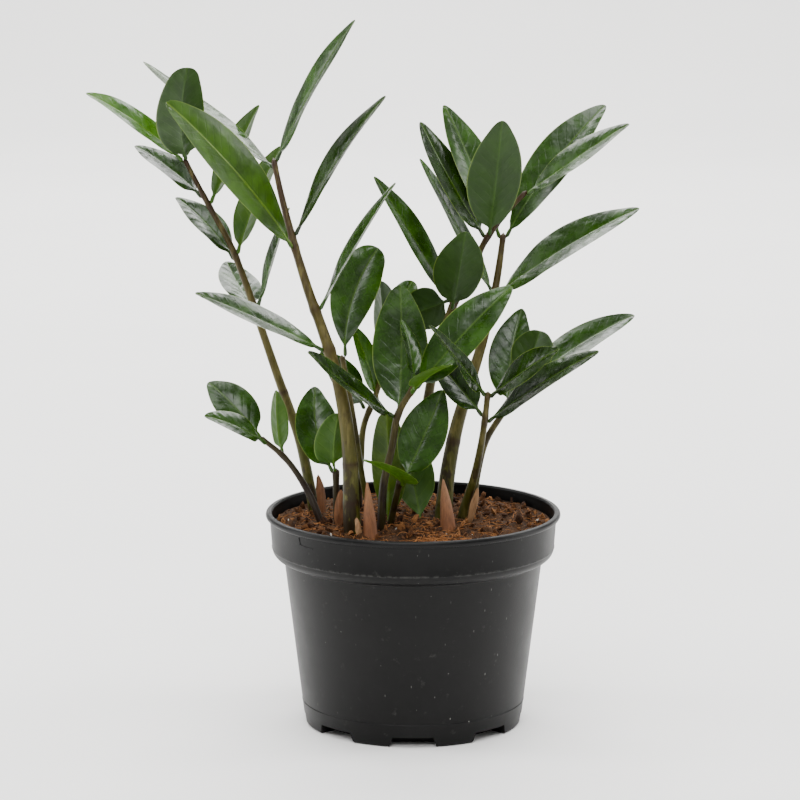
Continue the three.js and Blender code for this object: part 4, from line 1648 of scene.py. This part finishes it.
@dataclass
class Studio:
    """The white sweep, the softboxes, the sky and the camera. Metres and degrees."""

    camera_place: tuple[float, float, float] = (0.0, -1.9396, 0.5479)
    camera_pitch: float = 10.4956
    camera_yaw: float = 0.2231
    lens: float = 154.8
    sky: float = 0.42
    floor_size: tuple[float, float] = (14.0, 10.0)
    wall_height: float = 6.0
    sweep_bend: float = 2.0

    def build(self) -> None:
        """Makes the stage."""
        self.sweep()
        boxes = (
            Softbox("softbox_top", (0.0, -0.3, 1.9), (0.0, 0.0, 0.25), (1.5, 1.1), 40.0),
            Softbox("softbox_left", (-1.5, 0.15, 0.7), (0.0, 0.0, 0.2), (0.5, 1.4), 15.0),
            Softbox("softbox_right", (1.5, 0.25, 0.7), (0.0, 0.0, 0.2), (0.5, 1.4), 15.0),
            Softbox("softbox_front", (-0.25, -2.0, 1.7), (0.0, 0.0, 0.2), (1.7, 0.9), 37.0),
            Softbox("softbox_backdrop", (0.0, 2.2, 2.4), (0.0, 2.4, 0.0), (3.6, 2.0), 215.0),
        )
        for box in boxes:
            box.build()
        world = bpy.data.worlds.new("studio_sky")
        world.use_nodes = True
        back = world.node_tree.nodes["Background"]
        back.inputs["Color"].default_value = linear("#ffffff")
        back.inputs["Strength"].default_value = self.sky
        bpy.context.scene.world = world
        data = bpy.data.cameras.new("camera")
        data.lens = self.lens
        data.sensor_width = 36.0
        data.clip_end = 50.0
        camera = bpy.data.objects.new("camera", data)
        bpy.context.scene.collection.objects.link(camera)
        camera.location = self.camera_place
        camera.rotation_euler = (math.radians(90 - self.camera_pitch), 0.0, math.radians(self.camera_yaw))
        bpy.context.scene.camera = camera

    def sweep(self) -> None:
        """The paper sweep that serves as floor and background."""
        deselect_all()
        bpy.ops.mesh.primitive_plane_add(size=1.0, location=(0, 0, 0))
        floor = newest("paper_floor")
        floor.data.transform(Matrix.Diagonal((*self.floor_size, 1.0, 1.0)))
        bpy.ops.object.mode_set(mode="EDIT")
        bpy.ops.mesh.select_all(action="DESELECT")
        bpy.ops.object.mode_set(mode="OBJECT")
        for edge in floor.data.edges:
            edge.select = all(floor.data.vertices[i].co.y > 0 for i in edge.vertices)
        bpy.ops.object.mode_set(mode="EDIT")
        bpy.ops.mesh.extrude_region_move(TRANSFORM_OT_translate={"value": (0, 0, self.wall_height)})
        bpy.ops.object.mode_set(mode="OBJECT")
        bend = {"width": self.sweep_bend, "segments": 16, "limit_method": "ANGLE"}
        apply_modifier(floor, "BEVEL", bend)
        outward(floor)
        smooth(floor, 60)
        floor.data.materials.append(FloorFinish().make())


# ---------------------------------------------------------------- the whole plant


def carried_over() -> None:
    """Gives the CAD nodes that stay their finish."""
    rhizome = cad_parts["rhizome"]
    rhizome.data.materials.clear()
    rhizome.data.materials.append(RhizomeFinish().make())


def main() -> None:
    """Builds the pot, the coir, the plant and the studio in order."""
    logging.basicConfig(level=logging.INFO, format="%(name)s %(message)s")
    carried_over()
    Pot().build()
    CoirBed().build()
    tones = {
        "a2": LeafTone.MIDDLE, "a4": LeafTone.FRESH, "a5": LeafTone.FRESH, "a1": LeafTone.FRESH,
        "b1": LeafTone.OLIVE, "f1": LeafTone.MIDDLE, "f4": LeafTone.MIDDLE, "b2": LeafTone.DEEP,
        "j3": LeafTone.DEEP, "j1": LeafTone.DEEP, "f2": LeafTone.DEEP, "d3": LeafTone.FRESH,
        "h1": LeafTone.FRESH, "l3": LeafTone.FRESH, "m2": LeafTone.FRESH, "d1": LeafTone.DEEP,
        "j2": LeafTone.DEEP, "j4": LeafTone.DEEP,
    }
    scars = {"a": (70.0,), "b": (42.0, 20.0), "g": (46.0,)}
    # how much darker each stem is towards its foot
    darker_foot = {"l": 0.95, "d": 0.8, "h": 0.7, "m": 0.8, "k": 0.4, "j": 0.3}
    Foliage(tones, scars, darker_foot).build()
    sheath = SheathFinish().make()
    for side in ("left", "right"):
        Shoot(side).build(sheath)
    for scale in DRY_SCALES:
        scale.build(sheath)
    Studio().build()


if __name__ == "__main__":
    main()
